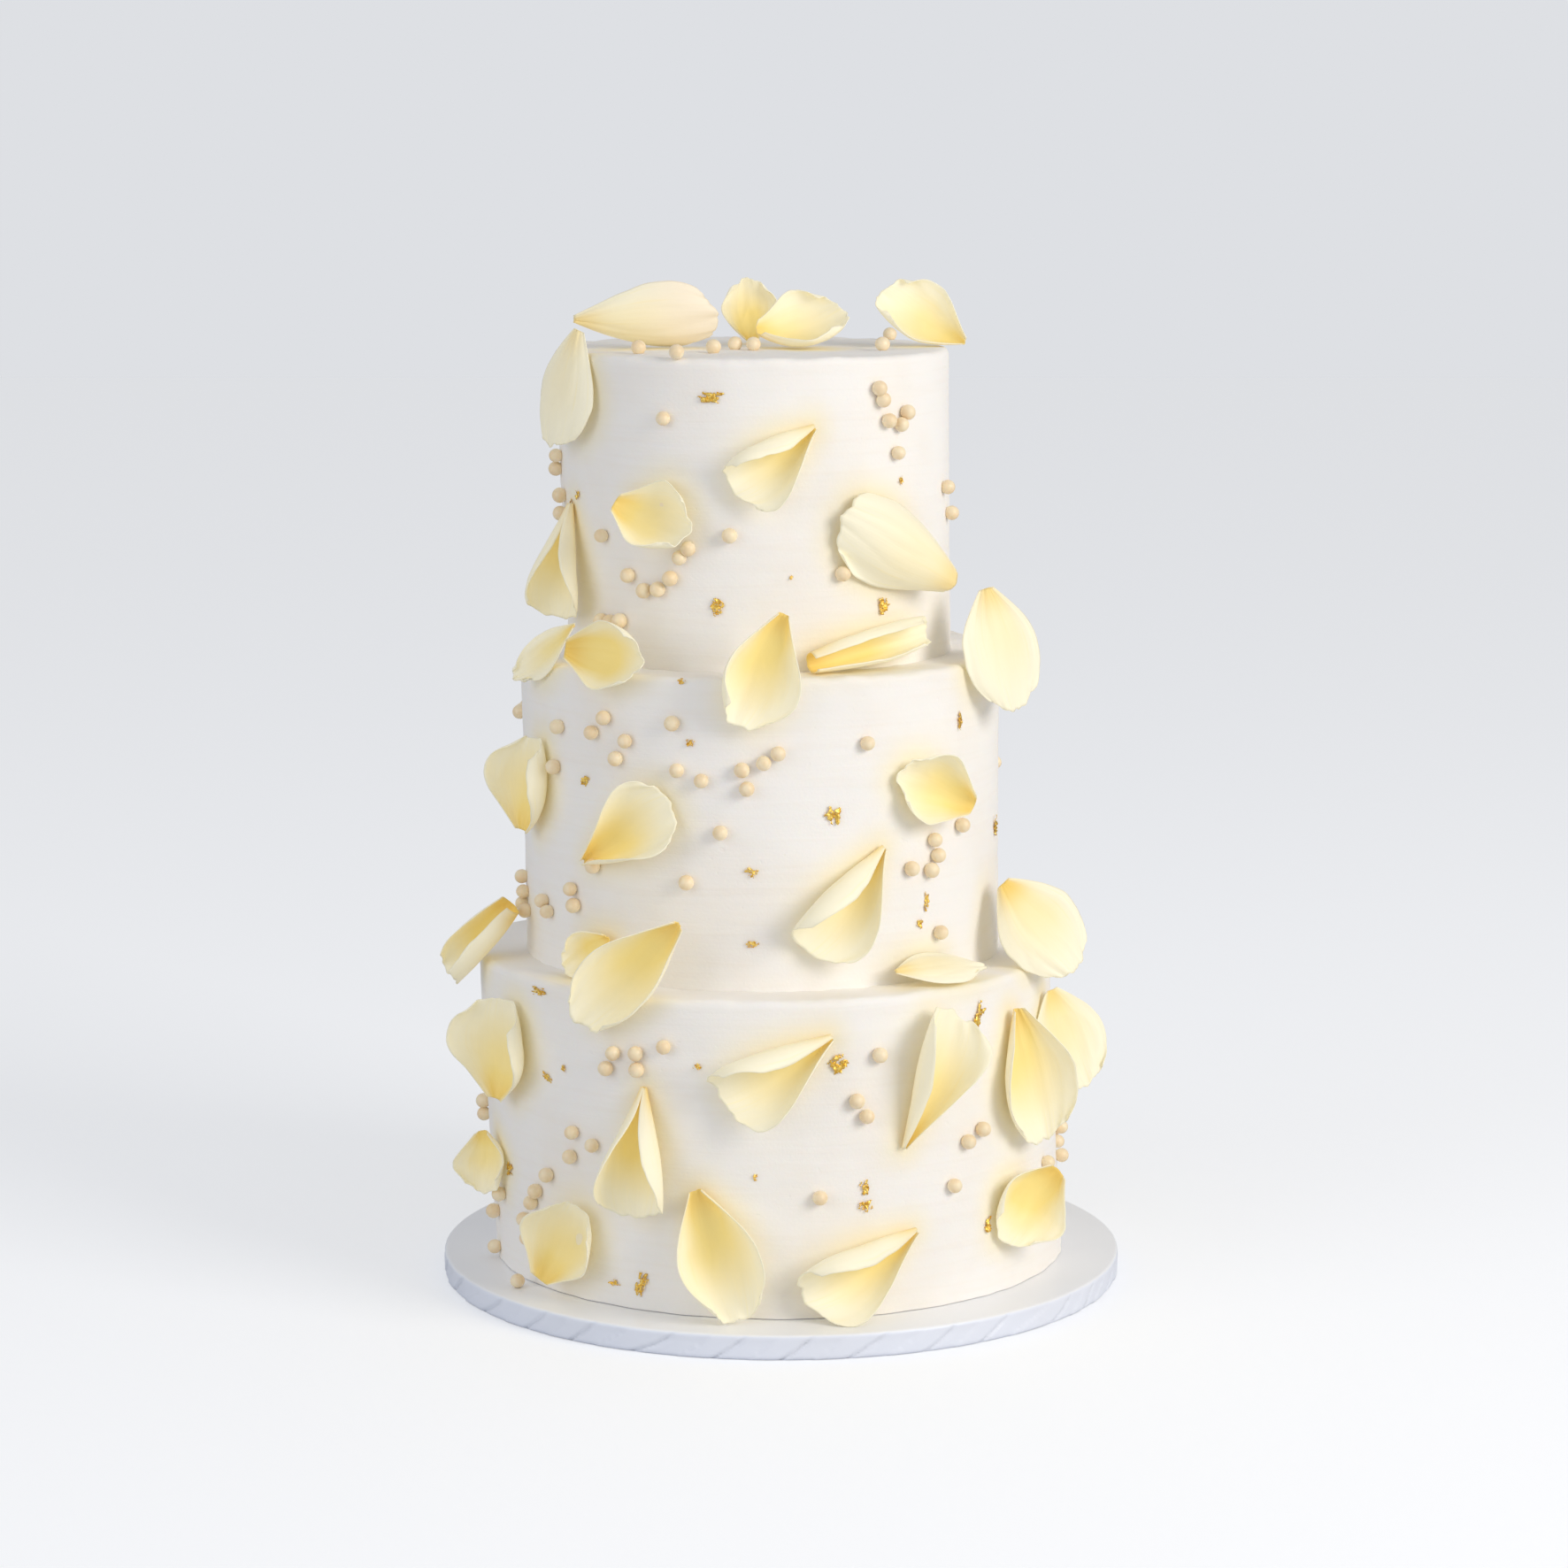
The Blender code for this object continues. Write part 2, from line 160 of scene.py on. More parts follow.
class Bench:
    """One material's node tree, and short ways to add to it."""

    def __init__(self, name: str) -> None:
        """Starts an empty material of that name."""
        self.material = bpy.data.materials.new(name)
        self.material.use_nodes = True
        self.tree = self.material.node_tree
        self.tree.nodes.clear()

    def node(
        self, kind: str, settings: dict[str, Any] | None = None, sockets: dict[Any, Any] | None = None
    ) -> bpy.types.Node:
        """Adds a node.

        Args:
            kind: The node's type.
            settings: Its settings, set first.
            sockets: The value or link of each input, by name or number.

        Returns:
            The node.
        """
        made = self.tree.nodes.new(kind)
        for name, setting in (settings or {}).items():
            setattr(made, name, setting)
        for key, given in (sockets or {}).items():
            if isinstance(given, Value):
                given = given.socket
            if isinstance(given, bpy.types.NodeSocket):
                self.tree.links.new(given, made.inputs[key])
            else:
                made.inputs[key].default_value = given
        return made

    def value(
        self, kind: str, settings: dict[str, Any] | None = None, sockets: dict[Any, Any] | None = None,
        output: Any = 0,
    ) -> Value:
        """Adds a node and gives one of its outputs.

        Args:
            kind: The node's type.
            settings: Its settings.
            sockets: The value or link of each input.
            output: The output's name or number.

        Returns:
            That output, as a value.
        """
        return Value(self, self.node(kind, settings, sockets).outputs[output])

    def stretched(self, source: str, scale: tuple[float, float, float]) -> bpy.types.NodeSocket:
        """Texture coordinates, scaled along each axis.

        Args:
            source: "Object" or "UV".
            scale: The scale along each axis.

        Returns:
            The coordinates.
        """
        coordinates = self.node("ShaderNodeTexCoord").outputs[source]
        sockets = {"Vector": coordinates, "Scale": scale}
        return self.node("ShaderNodeMapping", None, sockets).outputs["Vector"]

    def grain(
        self, where: bpy.types.NodeSocket, scale: float, detail: float = 2.0, warp: float = 0.0
    ) -> Value:
        """Noise from 0 to 1 over some coordinates.

        Args:
            where: The coordinates.
            scale: The noise's scale.
            detail: How many finer layers it has.
            warp: How far it is warped by itself.

        Returns:
            The noise.
        """
        sockets = {"Vector": where, "Scale": scale, "Detail": detail, "Distortion": warp}
        return self.value("ShaderNodeTexNoise", None, sockets, "Fac")

    def blend(self, share: Any, first: Any, second: Any) -> bpy.types.NodeSocket:
        """A mix of two colours.

        Args:
            share: How much of the second there is, from 0 to 1.
            first: A colour or a link to one.
            second: A colour or a link to one.

        Returns:
            The mixed colour.
        """
        settings = {"data_type": "RGBA"}
        return self.node("ShaderNodeMix", settings, {0: share, 6: first, 7: second}).outputs[2]

    def relief(self, height: Value, depth: float, over: Any = None, strength: float = 1.0) -> Any:
        """A bump.

        Args:
            height: The height, from 0 to 1.
            depth: What a height of 1 stands for, in metres.
            over: A bump that this one is added to.
            strength: How strongly it shows.

        Returns:
            The normal.
        """
        sockets = {"Height": height, "Distance": depth, "Strength": strength}
        if over is not None:
            sockets["Normal"] = over
        return self.node("ShaderNodeBump", None, sockets).outputs["Normal"]

    def surface(self, **sockets: Any) -> bpy.types.Node:
        """Adds the main shader, its inputs named with _ for a space."""
        named = {name.replace("_", " "): given for name, given in sockets.items()}
        return self.node("ShaderNodeBsdfPrincipled", None, named)

    def done(self, shader: bpy.types.Node) -> bpy.types.Material:
        """Joins the shader to the output and gives the material."""
        self.node("ShaderNodeOutputMaterial", None, {"Surface": shader.outputs[0]})
        return self.material


@dataclass(frozen=True)
class Buttercream:
    """Matt scraped buttercream: faint drags round the cake, air specks and a slight mottle, with painted
    light: warm yellow painted into its colour near the petals, for the light they pass on.
    """

    light: Colour = tone(250, 246, 240)
    deep: Colour = tone(245, 237, 225)
    # warm: the colour of the painted light, the yellow light that petals pass on to the icing.
    warm: Colour = tone(255, 235, 158)
    speck_size: float = 1.3 * MM
    speck_depth: float = 0.10 * MM
    drag_depth: float = 0.16 * MM
    painted_light_share: float = 0.48

    def build(self) -> bpy.types.Material:
        """Makes the material. It reads the icing's attribute of painted petal light: how much warm yellow
        is painted into the colour there, standing in for the light that petals pass on.
        """
        bench = Bench("buttercream")
        plain = bench.stretched("Object", (1.0, 1.0, 1.0))
        dragged = bench.stretched("Object", (0.05, 0.05, 1.0))
        mottle = bench.grain(plain, 22.0, 3.0)
        smear = bench.grain(dragged, 330.0, 3.0, 0.6)
        specks = bench.grain(plain, 1.0 / self.speck_size, 2.0)
        pits = bench.grain(plain, 0.28 / self.speck_size, 2.0).between(0.30, 0.22)
        worn = (mottle.between(0.40, 0.70) * 0.45 + smear.between(0.45, 0.75) * 0.2).clamped()
        painted_petal_light = bench.value("ShaderNodeAttribute", {"attribute_name": "painted_petal_light"}, None, "Fac")
        colour = bench.blend(worn, self.light, self.deep)
        # Painted light: warm yellow is painted in near the petals, for the light they pass on.
        colour = bench.blend((painted_petal_light * self.painted_light_share).clamped(), colour, self.warm)
        bump = bench.relief(smear, self.drag_depth)
        bump = bench.relief(specks - pits * 0.8, self.speck_depth, bump)
        shader = bench.surface(
            Base_Color=colour,
            Roughness=0.62 + 0.12 * specks,
            Subsurface_Weight=0.12,
            Subsurface_Radius=(1.0, 0.75, 0.5),
            Subsurface_Scale=2.5 * MM,
            Specular_IOR_Level=0.35,
            Normal=bump,
        )
        return bench.done(shader)


class Side(Enum):
    """The two sides of a petal."""

    HOLLOW = "hollow"
    OUTER = "outer"


@dataclass(frozen=True)
class PetalFlesh:
    """A fresh rose petal: fine veins that fan from the claw, yellow at its heart and paler at its brim,
    with a faint painted glow that stands in for light passing through it.
    """

    side: Side
    pale: Colour = tone(255, 251, 230)
    butter: Colour = tone(255, 235, 156)
    ochre: Colour = tone(248, 212, 108)
    blush: Colour = tone(252, 226, 212)
    lit_through: Colour = tone(255, 240, 150)
    see_through: float = 0.16
    # A faint emission: painted light that stands in for light passing through the petal.
    painted_through_glow: float = 0.08
    vein_depth: float = 0.12 * MM

    def build(self) -> bpy.types.Material:
        """Makes the material. It reads the petal's own UV map and its warmth and blush attributes."""
        bench = Bench(f"petal_{self.side.value}")
        uv = bench.node("ShaderNodeTexCoord").outputs["UV"]
        split = bench.node("ShaderNodeSeparateXYZ", None, {0: uv})
        across = abs(Value(bench, split.outputs[0]) * 2.0 - 1.0)
        along = Value(bench, split.outputs[1])
        warmth = bench.value("ShaderNodeAttribute", {"attribute_name": "warmth"}, None, "Fac")
        blush = bench.value("ShaderNodeAttribute", {"attribute_name": "blush"}, None, "Fac")
        fan = bench.stretched("UV", (34.0, 1.3, 1.0))
        veins = bench.grain(fan, 1.0, 3.0, 0.4)
        cells = bench.grain(bench.stretched("Object", (1.0, 1.0, 1.0)), 900.0, 1.0)
        clouds = bench.grain(bench.stretched("UV", (3.0, 3.0, 1.0)), 1.0, 2.0)
        heart = across.between(0.95, 0.15) * along.between(1.0, 0.35)
        claw = along.between(0.36, 0.02) * across.between(1.4, 0.3)
        strength = {Side.HOLLOW: 1.0, Side.OUTER: 0.45}[self.side]
        yellow = (heart * 0.95 + claw * 0.5 + clouds * 0.3 - 0.15) * (0.4 + 1.0 * warmth) * strength
        colour = bench.blend(yellow.clamped(), self.pale, self.butter)
        golden = (claw * claw * (0.15 + 0.75 * warmth)).clamped()
        colour = bench.blend(golden, colour, self.ochre)
        colour = bench.blend((veins.between(0.52, 0.72) * 0.16).clamped(), colour, self.butter)
        rosy = (blush * along.between(0.3, 0.9)).clamped()
        colour = bench.blend(rosy, colour, self.blush)
        bump = bench.relief(veins + cells * 0.25, self.vein_depth)
        # The emission is painted light: the petal glows faintly, standing in for light passing through it.
        front = bench.surface(
            Base_Color=colour, Roughness=0.42 + 0.15 * veins, Sheen_Weight=0.15, Sheen_Roughness=0.4,
            Specular_IOR_Level=0.4, Emission_Color=colour, Emission_Strength=self.painted_through_glow, Normal=bump,
        )
        through = bench.node("ShaderNodeBsdfTranslucent", None, {"Color": self.lit_through})
        sockets = {0: self.see_through, 1: front.outputs[0], 2: through.outputs[0]}
        return bench.done(bench.node("ShaderNodeMixShader", None, sockets))


@dataclass(frozen=True)
class SugarPearl:
    """A candy-coated sugar pearl: cream with a soft lustre and a slightly uneven shell."""

    light: Colour = tone(250, 232, 197)
    deep: Colour = tone(243, 219, 178)

    def build(self) -> bpy.types.Material:
        """Makes the material."""
        bench = Bench("sugar_pearl")
        plain = bench.stretched("Object", (1.0, 1.0, 1.0))
        cloud = bench.grain(plain, 160.0, 2.0)
        skin = bench.grain(plain, 900.0, 1.0)
        shader = bench.surface(
            Base_Color=bench.blend(cloud.between(0.35, 0.65), self.light, self.deep),
            Roughness=0.36 + 0.14 * skin,
            Coat_Weight=0.25,
            Coat_Roughness=0.3,
            Subsurface_Weight=0.15,
            Subsurface_Radius=(1.0, 0.7, 0.4),
            Subsurface_Scale=1.2 * MM,
            Normal=bench.relief(cloud + skin * 0.3, 0.12 * MM),
        )
        return bench.done(shader)


@dataclass(frozen=True)
class GoldLeaf:
    """Crumpled edible gold leaf."""

    bright: Colour = tone(255, 222, 120)
    deep: Colour = tone(228, 170, 56)

    def build(self) -> bpy.types.Material:
        """Makes the material."""
        bench = Bench("gold_leaf")
        plain = bench.stretched("Object", (1.0, 1.0, 1.0))
        crumple = bench.grain(plain, 700.0, 3.0, 0.8)
        colour = bench.blend(crumple.between(0.35, 0.62), self.deep, self.bright)
        shader = bench.surface(
            Base_Color=colour, Metallic=0.85, Roughness=0.3 + 0.2 * crumple,
            Normal=bench.relief(crumple, 0.25 * MM),
        )
        return bench.done(shader)


@dataclass(frozen=True)
class BoardFoil:
    """Smooth white cake-board covering: satin and very slightly dimpled, with painted shade, cooler and a
    little darker, on its sides where they turn down from the top.
    """

    top: Colour = tone(247, 248, 250)
    # The sides' colour: painted shade, cooler and a little darker where the covering turns down from the
    # top.
    painted_side_shade: Colour = tone(236, 240, 250)

    def build(self) -> bpy.types.Material:
        """Makes the material."""
        bench = Bench("board_foil")
        plain = bench.stretched("Object", (1.0, 1.0, 1.0))
        normal = bench.node("ShaderNodeNewGeometry").outputs["Normal"]
        up = bench.node("ShaderNodeSeparateXYZ", None, {0: normal})
        facing = Value(bench, up.outputs[2]).between(0.3, 0.8)
        dimples = bench.grain(plain, 260.0, 2.0)
        cloud = bench.grain(plain, 14.0, 2.0)
        # Painted shade: the colour goes from the top's white to the cooler, darker side colour as the
        # surface turns away from facing up.
        colour = bench.blend(facing, self.painted_side_shade, self.top)
        colour = bench.blend(cloud.between(0.4, 0.7) * 0.25, colour, tone(230, 231, 236))
        shader = bench.surface(
            Base_Color=colour, Roughness=0.30 + 0.12 * cloud, Specular_IOR_Level=0.5,
            Normal=bench.relief(dimples, 0.05 * MM),
        )
        return bench.done(shader)


# ---------------------------------------------------------------- meshes


def piece(name: str, bm: bmesh.types.BMesh, *finishes: bpy.types.Material) -> bpy.types.Object:
    """Turns a bmesh into a smooth-shaded piece of the cake.

    Args:
        name: The piece's name.
        bm: Its mesh, in the cake's own place.
        finishes: Its materials.

    Returns:
        The piece, riding on the cake's one body.
    """
    mesh = bpy.data.meshes.new(name)
    bm.to_mesh(mesh)
    bm.free()
    for finish in finishes:
        mesh.materials.append(finish)
    mesh.shade_smooth()
    made = bpy.data.objects.new(name, mesh)
    bpy.context.scene.collection.objects.link(made)
    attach(made, "root")
    return made


def ring_at(bm: bmesh.types.BMesh, height: float) -> list[bmesh.types.BMEdge]:
    """The edges of a round body that lie at one height."""
    return [e for e in bm.edges if all(abs(v.co.z - height) < 1e-6 for v in e.verts)]


def ringed(bm: bmesh.types.BMesh, width: float, rings: int) -> None:
    """Cuts rings into the flat top of a round body.

    Args:
        bm: The body.
        width: The width of each ring.
        rings: How many rings there are.
    """
    for _ in range(rings):
        top = max((f for f in bm.faces if f.normal.z > 0.9), key=lambda f: len(f.verts))
        bmesh.ops.inset_region(bm, faces=[top], thickness=width, use_even_offset=True)


@dataclass(frozen=True)
class Drum:
    """A round upright body from the origin up, with rounded edges and its side cut into stretches."""

    foot_radius: float
    rim_radius: float
    height: float
    around: int
    stretches: int
    rim_round: float
    foot_round: float
    rim_steps: int = 5
    foot_steps: int = 3

    def build(self) -> bmesh.types.BMesh:
        """Makes the body."""
        bm = bmesh.new()
        bmesh.ops.create_cone(
            bm, cap_ends=True, segments=self.around, radius1=self.foot_radius, radius2=self.rim_radius,
            depth=self.height, matrix=Matrix.Translation((0, 0, self.height / 2)),
        )
        rounds = ((self.height, self.rim_round, self.rim_steps), (0.0, self.foot_round, self.foot_steps))
        for height, size, steps in rounds:
            bmesh.ops.bevel(
                bm, geom=ring_at(bm, height), offset=size, segments=steps, profile=0.5, affect="EDGES",
                offset_type="OFFSET", material=-1,
            )
        upright = [e for e in bm.edges if abs(e.verts[0].co.z - e.verts[1].co.z) > self.height / 2]
        bmesh.ops.subdivide_edges(bm, edges=upright, cuts=self.stretches - 1, use_grid_fill=True)
        bm.normal_update()
        return bm


@dataclass(frozen=True)
class Tier:
    """One iced cake. Its rim may sit a little to one side of its foot, as its shifts say."""

    name: str
    foot_radius: float
    rim_radius: float
    foot_shift: float
    rim_shift: float
    span: Pair
    around: int = 288
    stretches: int = 64

    @classmethod
    def framed(cls, name: str, radii: Pair, shifts: Pair) -> "Tier":
        """A tier whose heights are its CAD node's."""
        low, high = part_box(name)
        return cls(name, *radii, *shifts, (low[2], high[2]))

    def section(self, share: Any) -> tuple[Any, Any]:
        """Its radius and shift at a share of its height."""
        radius = self.foot_radius + (self.rim_radius - self.foot_radius) * share
        return radius, self.foot_shift + (self.rim_shift - self.foot_shift) * share

    def on_side(self, around: float, level: float, out: float = 0.0) -> Vector:
        """A point on the side.

        Args:
            around: Degrees from the front, positive to the right.
            level: Its height above the foot, in metres.
            out: How far it stands out of the icing.

        Returns:
            The point.
        """
        low, high = self.span
        radius, shift = self.section(level / (high - low))
        angle = math.radians(around)
        reach = radius + out
        return Vector((math.sin(angle) * reach + shift, -math.cos(angle) * reach, low + level))


@dataclass(frozen=True)
class Icing:
    """The scraped coat of a tier: how uneven its wall, its top and its lip are."""

    lip_round: float = 3.2 * MM
    foot_round: float = 0.4 * MM
    foot_flare: float = 0.9 * MM
    foot_reach: float = 3.0 * MM
    foot_sunk: float = 1.3 * MM
    # How far from a petal, and how steeply, the painted petal light fades.
    painted_light_reach: float = 15.0 * MM
    painted_light_falloff: float = 1.6
    wall_wave: float = 0.45 * MM
    drag_wave: float = 0.16 * MM
    lip_wave: float = 0.55 * MM
    lip_reach: float = 7.0 * MM
    top_wave: float = 0.5 * MM
    ring_width: float = 6.0 * MM

    def offset(self, point: Vector, height: float, seed: float) -> Vector:
        """How far the icing strays from a true drum.

        Args:
            point: A point of the drum, its foot at height 0.
            height: The drum's height.
            seed: A number for this tier.

        Returns:
            The offset.
        """
        flat = Vector((point.x, point.y, 0.0))
        out = flat.normalized() if flat.length > MM else Vector()
        broad = noise.noise(point / (48 * MM) + Vector((seed, 0, 0)))
        fine = noise.noise(point / (17 * MM) + Vector((0, seed, 0)))
        drag = noise.noise(Vector((point.x / (70 * MM), point.y / (70 * MM), point.z / (3.2 * MM) + seed)))
        lip = noise.noise(flat / (11 * MM) + Vector((seed, seed, 0)))
        crumb = noise.noise(flat / (3.5 * MM) + Vector((seed, 0, seed)))
        near_lip = max(0.0, 1 - (height - point.z) / self.lip_reach)
        side = self.wall_wave * (broad + 0.5 * fine) + self.drag_wave * drag
        side += near_lip**2 * self.lip_wave * (lip + 0.6 * crumb)
        ragged = near_lip * self.lip_wave * (lip + 0.4 * crumb)
        rise = near_lip * (self.top_wave * (broad + 0.6 * fine) + ragged)
        near_foot = max(0.0, 1 - point.z / self.foot_reach) ** 2
        side += near_foot * self.foot_flare * (0.6 + lip)
        sinking = near_foot * self.foot_sunk + near_lip * self.top_wave * 0.8
        return out * side + Vector((0, 0, rise - sinking))

    def build(
        self, tier: Tier, seed: float, petals: KDTree, finish: bpy.types.Material
    ) -> bpy.types.Object:
        """Ices a tier.

        Args:
            tier: The tier.
            seed: A number for its unevenness.
            petals: The petals' points, near which warm yellow is painted into the icing's colour as painted
                light.
            finish: The buttercream.

        Returns:
            The iced tier, which stands for its CAD node.
        """
        low, high = tier.span
        height = high - low
        radii = (tier.foot_radius, tier.rim_radius)
        bm = Drum(*radii, height, tier.around, tier.stretches, self.lip_round, self.foot_round).build()
        ringed(bm, self.ring_width, int(tier.rim_radius / self.ring_width) - 1)
        for vert in bm.verts:
            share = vert.co.z / height
            shift = tier.section(share)[1]
            vert.co += self.offset(vert.co, height, seed) + Vector((shift, 0, low))
        # Painted light: the icing is painted warm yellow near the petals, fading with distance, for the
        # light they pass on.
        nearest = [petals.find(vert.co)[2] for vert in bm.verts]
        painted_petal_light = [max(0.0, 1 - reach / self.painted_light_reach) ** self.painted_light_falloff for reach in nearest]
        made = piece(f"iced_{tier.name}", bm, finish)
        made.data.attributes.new("painted_petal_light", "FLOAT", "POINT").data.foreach_set("value", painted_petal_light)
        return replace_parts(made, tier.name)


@dataclass(frozen=True)
class DrumBoard:
    """The drum board, its covering drawn down over the edge in pleats."""

    radius: float = 152.5 * MM
    pleats: int = 30
    pleat_depth: float = 1.7 * MM
    pleat_slant: float = 0.35
    edge_round: float = 1.6 * MM
    around: int = 900

    def pleat(self, point: Vector, height: float) -> float:
        """How far a pleat draws the covering in at a point of the edge.

        Args:
            point: A point of the edge.
            height: The board's thickness.

        Returns:
            The distance, in metres.
        """
        angle = math.atan2(point.x, -point.y)
        down = 1 - point.z / height
        wander = 0.25 * noise.noise(Vector((math.sin(angle) * 3, math.cos(angle) * 3, 0.0)))
        turns = self.pleats * angle / math.tau + wander * 2
        slant = self.pleat_slant * (down + 0.5 * down * down)
        phase = (turns + slant) % 1.0
        fold = math.exp(-(((phase - 0.5) / 0.035) ** 2))
        return self.pleat_depth * (0.35 * phase + 0.75 * fold) * min(1.0, 3.0 * down)

    def build(self, finish: bpy.types.Material) -> bpy.types.Object:
        """Makes the board, which stands for its CAD node."""
        low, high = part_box("board")
        height = high[2] - low[2]
        radii = (self.radius, self.radius)
        bm = Drum(*radii, height, self.around, 9, self.edge_round, self.edge_round).build()
        for vert in bm.verts:
            flat = Vector((vert.co.x, vert.co.y, 0.0))
            if flat.length > self.radius - self.edge_round * 0.7:
                vert.co -= flat.normalized() * self.pleat(vert.co, height)
            vert.co.z += low[2]
        made = piece("covered_board", bm, finish)
        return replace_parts(made, "board")


# ---------------------------------------------------------------- petals


@dataclass(frozen=True)
class Form:
    """How a petal's blade is cut and curled. Angles are in degrees, shares run from 0 to 1.

    claw, brim: half-width at the two ends, as a share of the widest half-width.
    widest: where along the blade it is widest.
    claw_roll, brim_roll: how far the (left, right) edges turn up at each end.
    opening: above 1, the blade stays rolled for longer before it opens to its brim.
    edge: above 1, the curl gathers at the edges and the middle stays flatter.
    arch: how far the spine bends up towards the hollow side, end to end.
    lip: how far the brim bends back again.
    back_curl: how far the (left, right) margins turn back again, near the brim.
    twist: how far the cross-section turns from end to end.
    """

    claw: float
    brim: float
    widest: float
    claw_roll: Pair
    brim_roll: Pair
    opening: float = 1.0
    edge: float = 1.0
    arch: float = 0.0
    lip: float = 0.0
    back_curl: Pair = (0.0, 0.0)
    twist: float = 0.0


CORNET = Form(0.10, 0.78, 0.78, (160, 160), (62, 62), 1.8, 1.2, 12, 20)
BOAT = Form(0.15, 0.40, 0.55, (80, 80), (65, 65), 1.0, 1.0, 40, 0)
CUP = Form(0.22, 0.55, 0.55, (55, 55), (60, 60), 1.0, 1.0, 85, 0)
LEAF = Form(0.18, 0.35, 0.50, (25, 25), (25, 25), 1.0, 1.0, 25, 0)
TUBE = Form(0.60, 0.75, 0.60, (150, 150), (140, 140), 1.0, 1.1, 8, 0)
LAPPED = Form(0.10, 0.75, 0.72, (140, 230), (50, 130), 1.1, 1.1, 15, 12)
BOWL = Form(0.25, 0.62, 0.55, (70, 70), (75, 75), 1.0, 0.9, 80, 0)


class Rest(Enum):
    """How a petal rests on the cake."""

    WALL = "wall"
    TOP = "top"
    LEDGE = "ledge"


WALL, TOP, LEDGE = Rest.WALL, Rest.TOP, Rest.LEDGE


@dataclass(frozen=True)
class Petal:
    """A petal and where it lies.

    rest: it leans on a tier's side, lies on a tier's top, or lies on a ledge against the tier above.
    around: degrees round the cake from the front, positive to the right.
    level: mm above the tier's foot for a wall petal, from the tier's axis for a top one,
        and above the ledge, before it settles, for a ledge one.
    turn: degrees clockwise from upright, or from straight back on a top, of the claw-to-brim line.
    lean: degrees that the brim stands off. tilt: degrees that the right edge stands off.
    length, width: mm, of the blade laid flat. back: the hollow side faces the cake.
    facing: degrees that it is turned about the upright, back to the front when around is positive.
    warmth: how yellow it is, from 0 to 1. blush: how pink its brim is.
    """

    form: Form
    rest: Rest
    around: float
    level: float
    turn: float
    lean: float
    tilt: float
    length: float
    width: float
    back: bool = False
    facing: float = 0.0
    warmth: float = 0.5
    blush: float = 0.0

    def behind(self) -> "Petal":
        """Its mirror image, carried round to the back of the cake."""
        form = replace(
            self.form, claw_roll=self.form.claw_roll[::-1], brim_roll=self.form.brim_roll[::-1],
            back_curl=self.form.back_curl[::-1], twist=-self.form.twist,
        )
        return replace(
            self, form=form, around=180 - self.around, turn=-self.turn, tilt=-self.tilt, facing=-self.facing
        )


